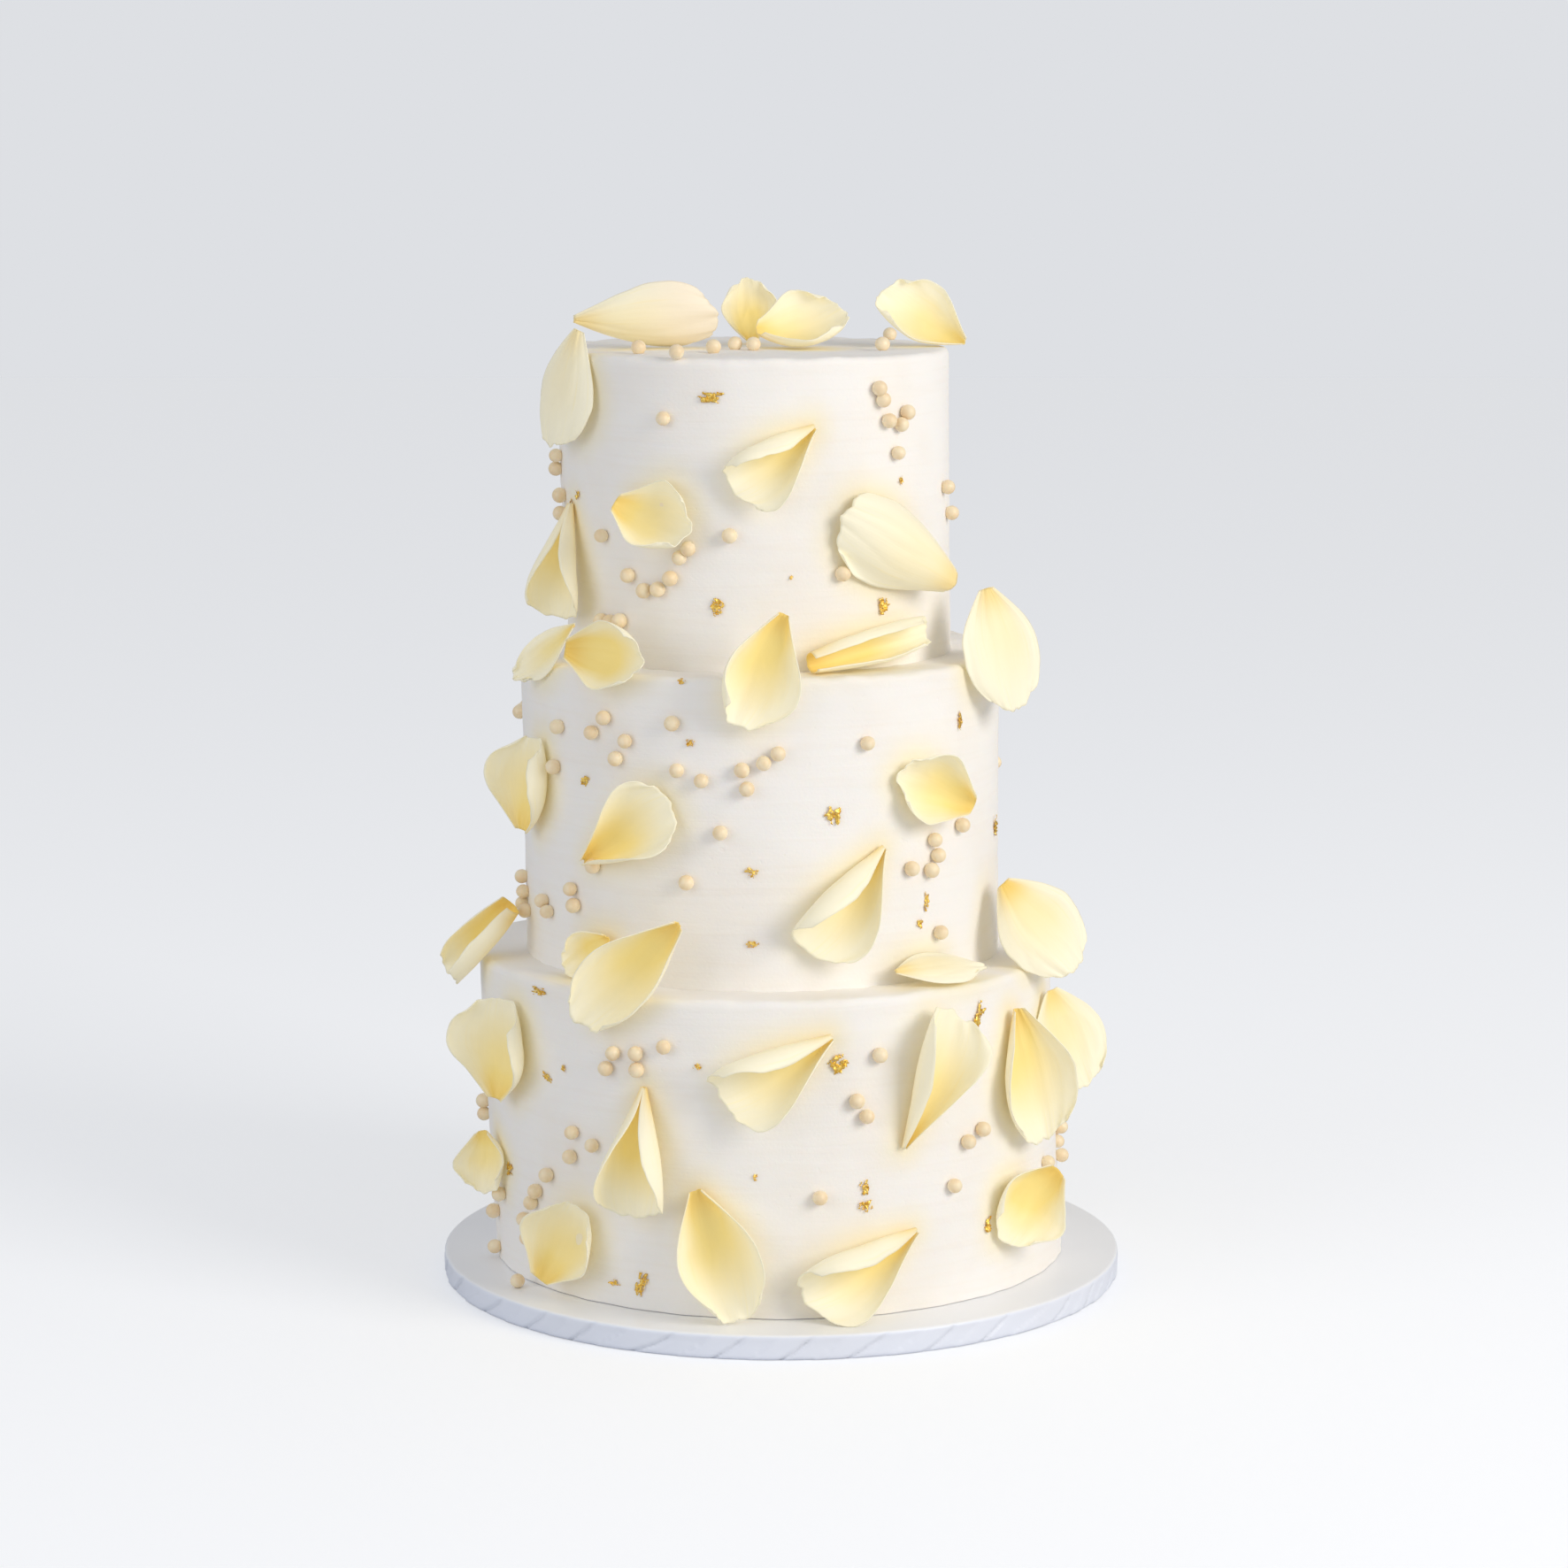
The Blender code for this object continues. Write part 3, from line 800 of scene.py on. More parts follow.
# Petals by where they lie, in the order they are set round the cake.
PETALS: dict[tuple[str, str], tuple[Petal, ...]] = {
    ("top", "crown"): (
        Petal(replace(BOAT, claw=0.06, brim=0.7, widest=0.65), TOP, -66, 50, 90, 0, 62, 64, 42,
              warmth=0.4, blush=0.3),
        Petal(CUP, TOP, 183, 30, -8, 75, 0, 31, 30, warmth=0.8),
        Petal(replace(BOWL, arch=95), TOP, 85, 22, 75, 10, -35, 46, 46),
        Petal(replace(BOWL, claw=0.1, arch=70), TOP, 98, 74, -85, 30, 50, 46, 42),
    ),
    ("top", "wall"): (
        Petal(replace(LEAF, brim=0.6, widest=0.6), WALL, -61, 118, -168, 8, 0, 52, 42, back=True,
              facing=-6, warmth=0.15),
        Petal(LAPPED, WALL, 6, 92, -123, 8, 0, 44, 46),
        Petal(BOWL, WALL, -27, 62, 106, 5, 30, 42, 42),
        Petal(replace(BOAT, claw=0.35, brim=0.75, widest=0.6, back_curl=(0, 190)), WALL, 41, 51, -60, 0,
              0, 64, 46, back=True, facing=15, warmth=0.4),
        Petal(replace(LAPPED, opening=1.6), WALL, -66, 42, 180, 10, 0, 50, 52, facing=-20),
    ),
    ("middle", "rim"): (
        Petal(replace(LEAF, twist=60), WALL, -60, 138, -130, 20, 0, 42, 18),
        Petal(BOWL, WALL, -36, 140, 93, 5, 10, 48, 40, warmth=1.0),
        Petal(replace(BOAT, brim_roll=(40, 120), brim=0.6, widest=0.65), WALL, 0, 138, -156, 5, 0, 52, 46,
              warmth=0.7),
        Petal(TUBE, LEDGE, 32, 14, 80, 0, 0, 62, 34, warmth=0.8),
        Petal(replace(LEAF, brim=0.6), WALL, 65, 140, 173, 14, 0, 54, 44, back=True, facing=25),
    ),
    ("middle", "wall"): (
        Petal(replace(BOAT, brim_roll=(60, 130)), WALL, -66, 80, 16, 5, 0, 46, 50, facing=-25),
        Petal(replace(CORNET, brim_roll=(75, 75)), WALL, -32, 65, 58, 5, 0, 54, 50, warmth=0.7),
        Petal(BOWL, WALL, 43, 84, -64, 6, 0, 42, 42, facing=25, warmth=0.6),
        Petal(LAPPED, WALL, 19, 40, -136, 6, 0, 56, 54),
    ),
    ("bottom", "rim"): (
        Petal(TUBE, WALL, -77, 143, -149, 30, 0, 44, 40, facing=-20, warmth=1.0),
        Petal(replace(BOAT, brim_roll=(110, 50), claw_roll=(110, 80), brim=0.6), WALL, -26, 149, -135, 5,
              20, 66, 46, warmth=0.7),
        Petal(BOWL, LEDGE, -43, 12, -125, 10, 0, 30, 28, warmth=1.0),
        Petal(replace(LEAF, claw=0.1), LEDGE, 41, 10, 94, 5, 62, 48, 22, back=True),
        Petal(replace(LEAF, brim=0.6), WALL, 68, 156, 150, 30, 0, 50, 44, back=True, facing=25, warmth=1.0),
    ),
    ("bottom", "wall"): (
        Petal(replace(BOAT, brim=0.7, brim_roll=(60, 110)), WALL, -60, 104, 12, 5, 0, 48, 58, facing=-25),
        Petal(LAPPED, WALL, 2, 111, -116, 8, 0, 55, 54),
        Petal(replace(CORNET, claw_roll=(190, 150), brim_roll=(110, 50)), WALL, 32, 101, 20, 5, 0, 62, 50,
              facing=10),
        Petal(replace(BOAT, brim=0.6, claw_roll=(80, 100)), WALL, 59, 93, 170, 5, 0, 62, 50, facing=25,
              warmth=0.7),
        Petal(replace(LEAF, brim=0.6), WALL, 74, 102, 167, 16, 0, 46, 42, facing=35, warmth=0.2),
        Petal(replace(LAPPED, claw_roll=(190, 190), brim_roll=(90, 90)), WALL, -23, 71, 180, 8, 0, 56, 56,
              warmth=0.9),
        Petal(BOWL, WALL, -72, 47, 172, 8, 0, 30, 36, facing=-40),
        Petal(BOWL, WALL, -42, 26, 30, 5, 0, 46, 50, facing=-15),
        Petal(replace(BOAT, brim=0.6, brim_roll=(60, 100)), WALL, -8, 27, 160, 8, 0, 60, 48, warmth=0.7),
        Petal(LAPPED, WALL, 18, 20, -112, 8, 0, 58, 52, warmth=0.7),
        Petal(BOWL, WALL, 57, 37, -134, 8, 0, 44, 48, facing=35, warmth=0.9),
    ),
}

# The petals this near the front, in degrees, are matched by as many at the back.
MATCHED_WITHIN = 60


@dataclass(frozen=True)
class PetalMaker:
    """Cuts, curls and lays the petals, each in the place of its CAD node."""

    tiers: tuple[Tier, ...]
    board: Tier
    hollow: bpy.types.Material
    outer: bpy.types.Material
    coarse: tuple[int, int] = (6, 4)
    fine: tuple[int, int] = (44, 44)
    coarse_thickness: float = 0.9 * MM
    thickness: float = 0.4 * MM
    gap: float = 0.3 * MM
    arc_steps: int = 16
    margin: float = 0.6
    brim_rounding: float = 0.12
    samples: tuple[float, ...] = (0.0, 0.33, 0.67, 1.0)
    reach: float = 70 * MM
    step: float = 0.25 * MM
    ledge_slack: float = 0.6 * MM
    crumple: float = 0.8 * MM
    ruffle: float = 0.95 * MM
    nibble: float = 0.045

    def half_width(self, form: Form, along: np.ndarray) -> np.ndarray:
        """The blade's half-width at places along it, as shares of its widest."""
        rise = form.claw + (1 - form.claw) * np.sin(np.pi / 2 * np.minimum(along / form.widest, 1))
        beyond = np.clip((along - form.widest) / (1 - form.widest), 0, 1)
        return np.where(along < form.widest, rise, np.sqrt(1 - beyond**2 * (1 - form.brim**2)))

    def blade(self, petal: Petal, across: np.ndarray, along: np.ndarray) -> np.ndarray:
        """Points of a petal's curled blade.

        The blade's middle is at the origin, its brim points along +Y and its hollow side faces +Z.

        Args:
            petal: The petal.
            across: Where each point is across the blade, from -1 to 1.
            along: Where it is along the blade, from 0 at the claw to 1.

        Returns:
            One row of x, y and z for each point.
        """
        form, length = petal.form, petal.length * MM
        half = petal.width * MM / 2 * self.half_width(form, along)
        steps = (np.arange(self.arc_steps) + 0.5) / self.arc_steps
        size, side = np.abs(across), np.where(across < 0, 0, 1)
        at_claw, at_brim = np.array(form.claw_roll)[side], np.array(form.brim_roll)[side]
        roll = np.radians(at_claw + (at_brim - at_claw) * along**form.opening)
        turned_back = np.radians(np.array(form.back_curl)[side] * along**2)
        places = size[:, None] * steps
        margin = np.clip((places - self.margin) / (1 - self.margin), 0, 1) ** 2
        heading = roll[:, None] * places**form.edge - turned_back[:, None] * margin
        out, up = np.cos(heading).mean(1) * size, np.sin(heading).mean(1) * size
        x, lift = np.sign(across) * out * half, up * half
        twist = np.radians(form.twist) * (along - 0.5)
        x, lift = x * np.cos(twist) - lift * np.sin(twist), x * np.sin(twist) + lift * np.cos(twist)
        rounded = along - self.brim_rounding * across**2 * along**3
        y, z, slope = self.spine(form, rounded, length)
        middle_y, middle_z, _ = self.spine(form, np.array([0.5]), length)
        y = y - middle_y - lift * np.sin(slope)
        return np.stack([x, y, z - middle_z + lift * np.cos(slope)], axis=1)

    def spine(self, form: Form, along: np.ndarray, length: float) -> tuple[np.ndarray, ...]:
        """The blade's spine.

        Args:
            form: The petal's form.
            along: Places along the blade, from 0 to 1.
            length: The blade's length.

        Returns:
            The y and z of each place, from the claw, and the spine's heading there.
        """
        arch, lip = math.radians(form.arch), math.radians(form.lip)
        steps = along[:, None] * (np.arange(self.arc_steps) + 0.5) / self.arc_steps
        bend = arch * (steps - 0.5) - lip * steps**4
        reach = along * length
        heading = arch * (along - 0.5) - lip * along**4
        return np.cos(bend).mean(1) * reach, np.sin(bend).mean(1) * reach, heading

    def turned(self, petal: Petal) -> np.ndarray:
        """A petal's own axes in the cake's, as the columns of a 3 x 3 matrix."""
        angle = math.radians(petal.around - petal.facing)
        if petal.rest is TOP:
            right, up, out = Vector((1, 0, 0)), Vector((0, 1, 0)), Vector((0, 0, 1))
        else:
            right = Vector((math.cos(angle), math.sin(angle), 0))
            up = Vector((0, 0, 1))
            out = Vector((math.sin(angle), -math.cos(angle), 0))
        made = Matrix((right, up, out)).transposed()
        made = made @ Matrix.Rotation(math.radians(-petal.turn), 3, "Z")
        made = made @ Matrix.Rotation(math.radians(petal.lean), 3, "X")
        made = made @ Matrix.Rotation(math.radians(-petal.tilt), 3, "Y")
        if petal.back:
            made = made @ Matrix.Rotation(math.pi, 3, "Y")
        return np.array(made)

    def clearance(self, points: np.ndarray) -> np.ndarray:
        """The distance from each point to the nearest of the board and tiers, negative inside one."""
        x, y, z = points.T
        nearest = np.full(len(points), np.inf)
        feet = [tier.span[0] - self.gap for tier in self.tiers]
        tops = [*feet[1:], self.tiers[-1].span[1]]
        for tier, low, high in zip((self.board, *self.tiers), (0.0, *feet), (self.board.span[1], *tops)):
            radius, shift = tier.section(np.clip((z - low) / (high - low), 0, 1))
            side = np.hypot(x - shift, y) - radius
            ends = np.maximum(low - z, z - high)
            outside = np.hypot(np.maximum(side, 0), np.maximum(ends, 0))
            inside = np.minimum(np.maximum(side, ends), 0)
            nearest = np.minimum(nearest, outside + inside)
        return nearest

    def move_in(self, points: np.ndarray, direction: np.ndarray, reach: float) -> np.ndarray:
        """Slides points from that far out along a direction back to where they touch the cake.

        Args:
            points: The points.
            direction: The direction, away from the cake.
            reach: How far out they start.

        Returns:
            The shift that takes them there.
        """
        touch = self.gap + self.coarse_thickness / 2
        while reach > -self.reach:
            if self.clearance(points + direction * (reach - self.step)).min() < touch:
                break
            reach -= self.step
        return direction * reach

    def place(self, petal: Petal, tier: Tier, points: np.ndarray) -> np.ndarray:
        """Where a petal's middle is, once its turned points rest on the cake.

        Args:
            petal: The petal.
            tier: The tier that it lies on.
            points: Its turned points, about its middle.

        Returns:
            The place.
        """
        angle = math.radians(petal.around)
        out = np.array((math.sin(angle), -math.cos(angle), 0.0))
        up = np.array((0.0, 0.0, 1.0))
        number = self.tiers.index(tier)
        foot = tier.span[0] - self.gap
        rim = self.tiers[number + 1].span[0] - self.gap if number < 2 else tier.span[1]
        shift = np.array((tier.rim_shift, 0.0, 0.0))
        level = petal.level * MM
        if petal.rest is TOP:
            start = out * level + up * rim + shift
            return start + self.move_in(points + start, up, self.reach)
        if petal.rest is LEDGE:
            upper = self.tiers[min(number + 1, 2)]
            start = out * upper.foot_radius + up * (rim + level) + shift
            start = start + self.move_in(points + start, out, self.reach) + out * self.ledge_slack
            return start + self.move_in(points + start, up, 0.0)
        lowest = self.board.span[1] + self.gap + self.coarse_thickness - points[:, 2].min()
        start = out * tier.foot_radius + up * max(foot + level, lowest) + shift
        return start + self.move_in(points + start, out, self.reach)

    def grid(self, cells: tuple[int, int]) -> tuple[bmesh.types.BMesh, np.ndarray, np.ndarray]:
        """A flat blade.

        Args:
            cells: How many cells it has across and along.

        Returns:
            The mesh, and where each of its points is across and along.
        """
        bm = bmesh.new()
        bm.loops.layers.uv.new("blade")
        bmesh.ops.create_grid(bm, x_segments=cells[0], y_segments=cells[1], size=1.0, calc_uvs=True)
        flat = np.array([vert.co[:2] for vert in bm.verts])
        return bm, flat[:, 0], (flat[:, 1] + 1) / 2

    def resting_points(self, petal: Petal) -> np.ndarray:
        """Points over the petal's coarse blade, which are what settles on the cake."""
        bm, across, along = self.grid(self.coarse)
        corners = self.blade(petal, across, along) @ self.turned(petal).T
        found = []
        for face in bm.faces:
            a, b, c, d = (corners[vert.index] for vert in face.verts)
            found += [
                (a * (1 - s) + b * s) * (1 - t) + (d * (1 - s) + c * s) * t
                for s in self.samples
                for t in self.samples
            ]
        bm.free()
        return np.array(found)

    def build(self, name: str, petal: Petal, tier: Tier, seed: float) -> bpy.types.Object:
        """Makes one petal.

        Args:
            name: Its CAD node's name.
            petal: The petal.
            tier: The tier that it lies on.
            seed: A number for its crumples.

        Returns:
            The petal, which stands for its CAD node.
        """
        place = self.place(petal, tier, self.resting_points(petal))
        bm, across, along = self.grid(self.fine)
        points = self.blade(petal, *self.ragged(across, along, seed))
        turned = self.turned(petal)
        for vert, point in zip(bm.verts, points):
            vert.co = point
        bm.normal_update()
        for vert, u, v in zip(bm.verts, across, along):
            vert.co += vert.normal * self.stray(u, v, seed)
        for vert in bm.verts:
            vert.co = Vector(turned @ np.array(vert.co) + place)
        made = piece(f"rose_{name}", bm, self.hollow, self.outer)
        wall = made.modifiers.new("thickness", "SOLIDIFY")
        wall.thickness = self.thickness
        wall.offset = 0.0
        wall.material_offset = 1
        wall.material_offset_rim = 1
        for key, amount in (("warmth", petal.warmth), ("blush", petal.blush)):
            layer = made.data.attributes.new(key, "FLOAT", "POINT")
            layer.data.foreach_set("value", [amount] * len(made.data.vertices))
        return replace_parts(made, name)

    def ragged(self, across: np.ndarray, along: np.ndarray, seed: float) -> tuple[np.ndarray, np.ndarray]:
        """Where the blade's points are once its outline is a little uneven."""
        wide, long = [], []
        for u, v in zip(across, along):
            side = noise.noise(Vector((math.copysign(3.0, u), v * 2.6, seed)))
            nick = noise.noise(Vector((math.copysign(7.0, u), v * 7.5, seed)))
            wide.append(u * (1 + self.nibble * (side + 0.5 * nick) * abs(u)))
            brim = noise.noise(Vector((u * 2.2, 5.0, seed))) + 0.5 * noise.noise(Vector((u * 6, 9.0, seed)))
            long.append(v * (1 + self.nibble * brim * v**3))
        return np.array(wide), np.array(long)

    def stray(self, u: float, v: float, seed: float) -> float:
        """How far a point of the blade strays from its smooth form: soft dents and a ruffled brim."""
        dent = noise.noise(Vector((u * 1.4, v * 2.0, seed)))
        crease = abs(noise.noise(Vector((u * 2.6, v * 1.6, seed + 9)))) ** 0.7
        brim = v**6 + 0.7 * abs(u) ** 8 * v
        wave = math.sin(u * 9 + seed * 3) * 0.5 + noise.noise(Vector((u * 5, v * 3, seed + 5)))
        return self.crumple * (1.3 * dent - crease) + self.ruffle * brim * wave


# ---------------------------------------------------------------- sprinkles


@dataclass(frozen=True)
class Spill:
    """A few pearls that stick together on a tier's side.

    around, level: degrees from the front and mm above the tier's foot.
    steps: each pearl's place from there, as mm to the right and up.
    """

    tier: str
    around: float
    level: float
    steps: tuple[Pair, ...] = ((0, 0),)


FRONT_SPILLS = (
    Spill("top", -25, 107),
    Spill("top", 38, 119, ((0, 0), (2, -5), (16, -11), (5, -14), (12, -16), (10, -28))),
    Spill("top", -79, 86, ((0, 0), (-3, -6))),
    Spill("top", -76, 69, ((0, 0), (-1, -8))),
    Spill("top", -49, 55),
    Spill("top", -7, 58),
    Spill("top", -19, 52, ((0, 0), (-4, -4))),
    Spill("top", -39, 39, ((0, 0), (8, -6), (15, -5), (21, 0))),
    Spill("top", 25, 41),
    Spill("top", -51, 18, ((0, 0), (6, 0), (12, 1))),
    Spill("top", 73, 73),
    Spill("top", 78, 61),
    Spill("middle", -54, 107),
    Spill("middle", -38, 114, ((0, 0), (-7, -7), (11, -9), (6, -17))),
    Spill("middle", -56, 89),
    Spill("middle", -20, 114),
    Spill("middle", -19, 94),
    Spill("middle", -4, 95, ((0, 0), (9, 3), (15, 7), (2, -8), (-17, -5))),
    Spill("middle", 25, 105),
    Spill("middle", -9, 68),
    Spill("middle", -42, 49),
    Spill("middle", -50, 37, ((0, 0), (2, -7))),
    Spill("middle", -17, 46),
    Spill("middle", -81, 33, ((0, 0), (4, -6), (1, -12), (8, -14))),
    Spill("middle", -63, 28, ((0, 0), (5, -4))),
    Spill("middle", 54, 64),
    Spill("middle", 44, 60, ((0, 0), (2, -7), (-13, -11), (-2, -13))),
    Spill("middle", 46, 19),
    Spill("bottom", -30, 112, ((0, 0), (-4, -7), (11, 1), (11, -6), (24, 5))),
    Spill("bottom", -88, 66, ((0, 0), (0, -6))),
    Spill("bottom", -41, 74, ((0, 0), (-2, -11), (11, -4))),
    Spill("bottom", -49, 52, ((0, 0), (-9, -9), (-13, -15))),
    Spill("bottom", -70, 33),
    Spill("bottom", -76, 22),
    Spill("bottom", -58, 28, ((0, 0), (2, -8))),
    Spill("bottom", -77, 5),
    Spill("bottom", 22, 113),
    Spill("bottom", 17, 94, ((0, 0), (4, -7))),
    Spill("bottom", 9, 53),
    Spill("bottom", 45, 74, ((0, 0), (-9, -4))),
    Spill("bottom", 86, 55),
    Spill("bottom", 84, 43),
    Spill("bottom", 69, 48),
    Spill("bottom", 37, 52),
)

# Pearls on the top of the cake, mm to the right of its middle and towards the back.
TOP_PEARLS: tuple[Pair, ...] = (
    (-61, -50), (-44, -80), (-29, -45), (-20, -22), (-12, -25), (44, -25), (49, 50),
)

# The pearl that rolled onto the board, measured in the same way.
BOARD_PEARL: Pair = (-115, -78)


@dataclass(frozen=True)
class Pearls:
    """All the sugar pearls, as one piece."""

    tiers: tuple[Tier, ...]
    radius: float = 3.25 * MM
    sunk: float = 0.9 * MM
    uneven: float = 0.05
    clear_of_petals: float = 4.6 * MM
    spills_behind: tuple[int, ...] = (9, 9, 7)

    def tier(self, name: str) -> Tier:
        """The tier of that short name."""
        return next(t for t in self.tiers if t.name == f"tier_{name}")

    def spilled(self, spill: Spill) -> Iterator[Vector]:
        """The middles of a spill's pearls."""
        tier = self.tier(spill.tier)
        per_mm = math.degrees(MM / tier.foot_radius)
        for across, up in spill.steps:
            yield tier.on_side(
                spill.around + across * per_mm, (spill.level + up) * MM, self.radius - self.sunk
            )

    def behind(self, rng: random.Random) -> Iterator[Spill]:
        """Random spills for the back of the cake."""
        for tier, spills in zip(self.tiers, self.spills_behind):
            low, high = tier.span
            tall = (high - low) / MM
            for _ in range(spills):
                x = y = 0.0
                steps = [(x, y)]
                for _ in range(rng.choice((0, 0, 1, 2, 3, 5))):
                    turn = rng.uniform(0, math.tau)
                    x += 7.2 * math.cos(turn)
                    y -= 7.2 * abs(math.sin(turn))
                    steps.append((x, y))
                level = rng.uniform(0.3 * tall, 0.85 * tall)
                yield Spill(tier.name.removeprefix("tier_"), rng.uniform(98, 262), level, tuple(steps))

    def build(self, petals: KDTree, finish: bpy.types.Material) -> bpy.types.Object:
        """Makes the pearls.

        Args:
            petals: The petals' points, which the pearls at the back keep clear of.
            finish: The pearls' material.

        Returns:
            The pearls.
        """
        rng = random.Random(11)
        top = self.tiers[-1]
        rim = top.span[1]
        board_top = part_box("board")[1][2]
        places = [p for spill in FRONT_SPILLS for p in self.spilled(spill)]
        places += [
            Vector((x * MM, y * MM, rim + self.radius - self.sunk)) for x, y in TOP_PEARLS
        ]
        x, y = BOARD_PEARL
        places.append(Vector((x * MM, y * MM, board_top + self.radius * 0.95)))
        for place in (p for spill in self.behind(rng) for p in self.spilled(spill)):
            apart = min((place - other).length for other in places)
            if petals.find(place)[2] > self.clear_of_petals and apart > 1.95 * self.radius:
                places.append(place)
        bm = bmesh.new()
        for place in places:
            size = self.radius * rng.uniform(1 - self.uneven, 1 + self.uneven)
            squash = Matrix.Diagonal((1, 1, rng.uniform(1 - self.uneven, 1), 1))
            turned = Matrix.Rotation(rng.uniform(0, math.tau), 4, "X")
            placed = Matrix.Translation(place) @ turned @ squash
            bmesh.ops.create_icosphere(bm, subdivisions=3, radius=size, matrix=placed)
        return piece("sugar_pearls", bm, finish)


@dataclass(frozen=True)
class Flake:
    """A scrap of gold leaf on a tier's side: its place, its width and height in mm, and its slant."""

    tier: str
    around: float
    level: float
    width: float
    height: float
    slant: float = 0.0


FRONT_FLAKES = (
    Flake("top", -11, 116, 12, 6),
    Flake("top", -12, 27, 8, 8, 40),
    Flake("top", 39, 26, 7, 8),
    Flake("top", 47, 79, 3, 4),
    Flake("top", -63, 71, 4, 6),
    Flake("top", -68, 65, 3, 9),
    Flake("top", 10, 40, 2, 2),
    Flake("middle", -18, 132, 4, 3),
    Flake("middle", -45, 85, 6, 5),
    Flake("middle", -16, 106, 4, 4),
    Flake("middle", 17, 75, 9, 8, 30),
    Flake("middle", -2, 51, 6, 6, 40),
    Flake("middle", -2, 20, 6, 3),
    Flake("middle", 54, 109, 4, 11),
    Flake("middle", 77, 57, 7, 10),
    Flake("middle", 42, 34, 3, 10),
    Flake("middle", 40, 24, 5, 5, 40),
    Flake("bottom", -49, 133, 11, 4),
    Flake("bottom", -48, 96, 7, 4, 30),
    Flake("bottom", -43, 101, 3, 4),
    Flake("bottom", -13, 109, 4, 4),
    Flake("bottom", 14, 110, 11, 11, 20),
    Flake("bottom", 46, 123, 7, 14, 20),
    Flake("bottom", -65, 47, 7, 8),
    Flake("bottom", -33, 10, 7, 4),
    Flake("bottom", -27, 12, 6, 12, 20),
    Flake("bottom", 18, 56, 5, 8),
    Flake("bottom", 18, 48, 6, 7, 60),
    Flake("bottom", 46, 31, 5, 9, 20),
    Flake("bottom", -3, 62, 2, 4),
)


@dataclass(frozen=True)
class GoldScraps:
    """All the gold leaf, as one piece."""

    tiers: tuple[Tier, ...]
    cells: int = 16
    thickness: float = 0.06 * MM
    lift: float = 0.7 * MM
    crumple: float = 1.1 * MM
    scraps_behind: tuple[int, ...] = (9, 8, 7)

    def behind(self, rng: random.Random) -> Iterator[Flake]:
        """Random scraps for the back of the cake."""
        for tier, scraps in zip(self.tiers, self.scraps_behind):
            low, high = tier.span
            tall = (high - low) / MM
            for _ in range(scraps):
                yield Flake(
                    tier.name.removeprefix("tier_"), rng.uniform(98, 262), rng.uniform(0.1, 0.92) * tall,
                    rng.uniform(3, 10), rng.uniform(3, 11), rng.uniform(-40, 40),
                )

    def torn(self, bm: bmesh.types.BMesh, flake: Flake, seed: float) -> None:
        """Adds one torn, crumpled scrap to the mesh.

        Args:
            bm: The mesh.
            flake: The scrap.
            seed: A number for its shape.
        """
        tier = next(t for t in self.tiers if t.name == f"tier_{flake.tier}")
        made = bmesh.ops.create_grid(bm, x_segments=self.cells, y_segments=self.cells, size=1.0)
        verts = made["verts"]
        faces = {f for v in verts for f in v.link_faces}

        def whole(face: bmesh.types.BMFace) -> bool:
            """Whether the leaf covers this cell."""
            centre = face.calc_center_median()
            ragged = noise.noise(Vector((centre.x * 2.1, centre.y * 2.1, seed)))
            holes = noise.noise(Vector((centre.x * 5.5, centre.y * 5.5, seed + 7)))
            return centre.length < 0.72 + 0.75 * ragged and holes < 0.33

        gone = [f for f in faces if not whole(f)]
        bmesh.ops.delete(bm, geom=gone, context="FACES")
        per_mm = math.degrees(MM / tier.foot_radius)
        turn = math.radians(flake.slant)
        for vert in (v for v in verts if v.is_valid):
            x, y = vert.co.x * flake.width / 2, vert.co.y * flake.height / 2
            fold = noise.noise(Vector((x * 0.7, y * 0.7, seed + 3))) + 0.5 * noise.noise(
                Vector((x * 1.9, y * 1.9, seed + 4))
            )
            across = x * math.cos(turn) + y * math.sin(turn)
            up = y * math.cos(turn) - x * math.sin(turn)
            out = self.lift + self.crumple * max(-0.35, fold)
            vert.co = tier.on_side(flake.around + across * per_mm, (flake.level + up) * MM, out)

    def build(self, finish: bpy.types.Material) -> bpy.types.Object:
        """Makes the gold leaf."""
        rng = random.Random(23)
        bm = bmesh.new()
        for number, flake in enumerate([*FRONT_FLAKES, *self.behind(rng)]):
            self.torn(bm, flake, 3.7 * number + 0.9)
        loose = [v for v in bm.verts if not v.link_faces]
        bmesh.ops.delete(bm, geom=loose, context="VERTS")
        bmesh.ops.recalc_face_normals(bm, faces=bm.faces)
        made = piece("gold_leaf", bm, finish)
        wall = made.modifiers.new("thickness", "SOLIDIFY")
        wall.thickness = self.thickness
        wall.offset = 0.0
        return made


# ---------------------------------------------------------------- studio


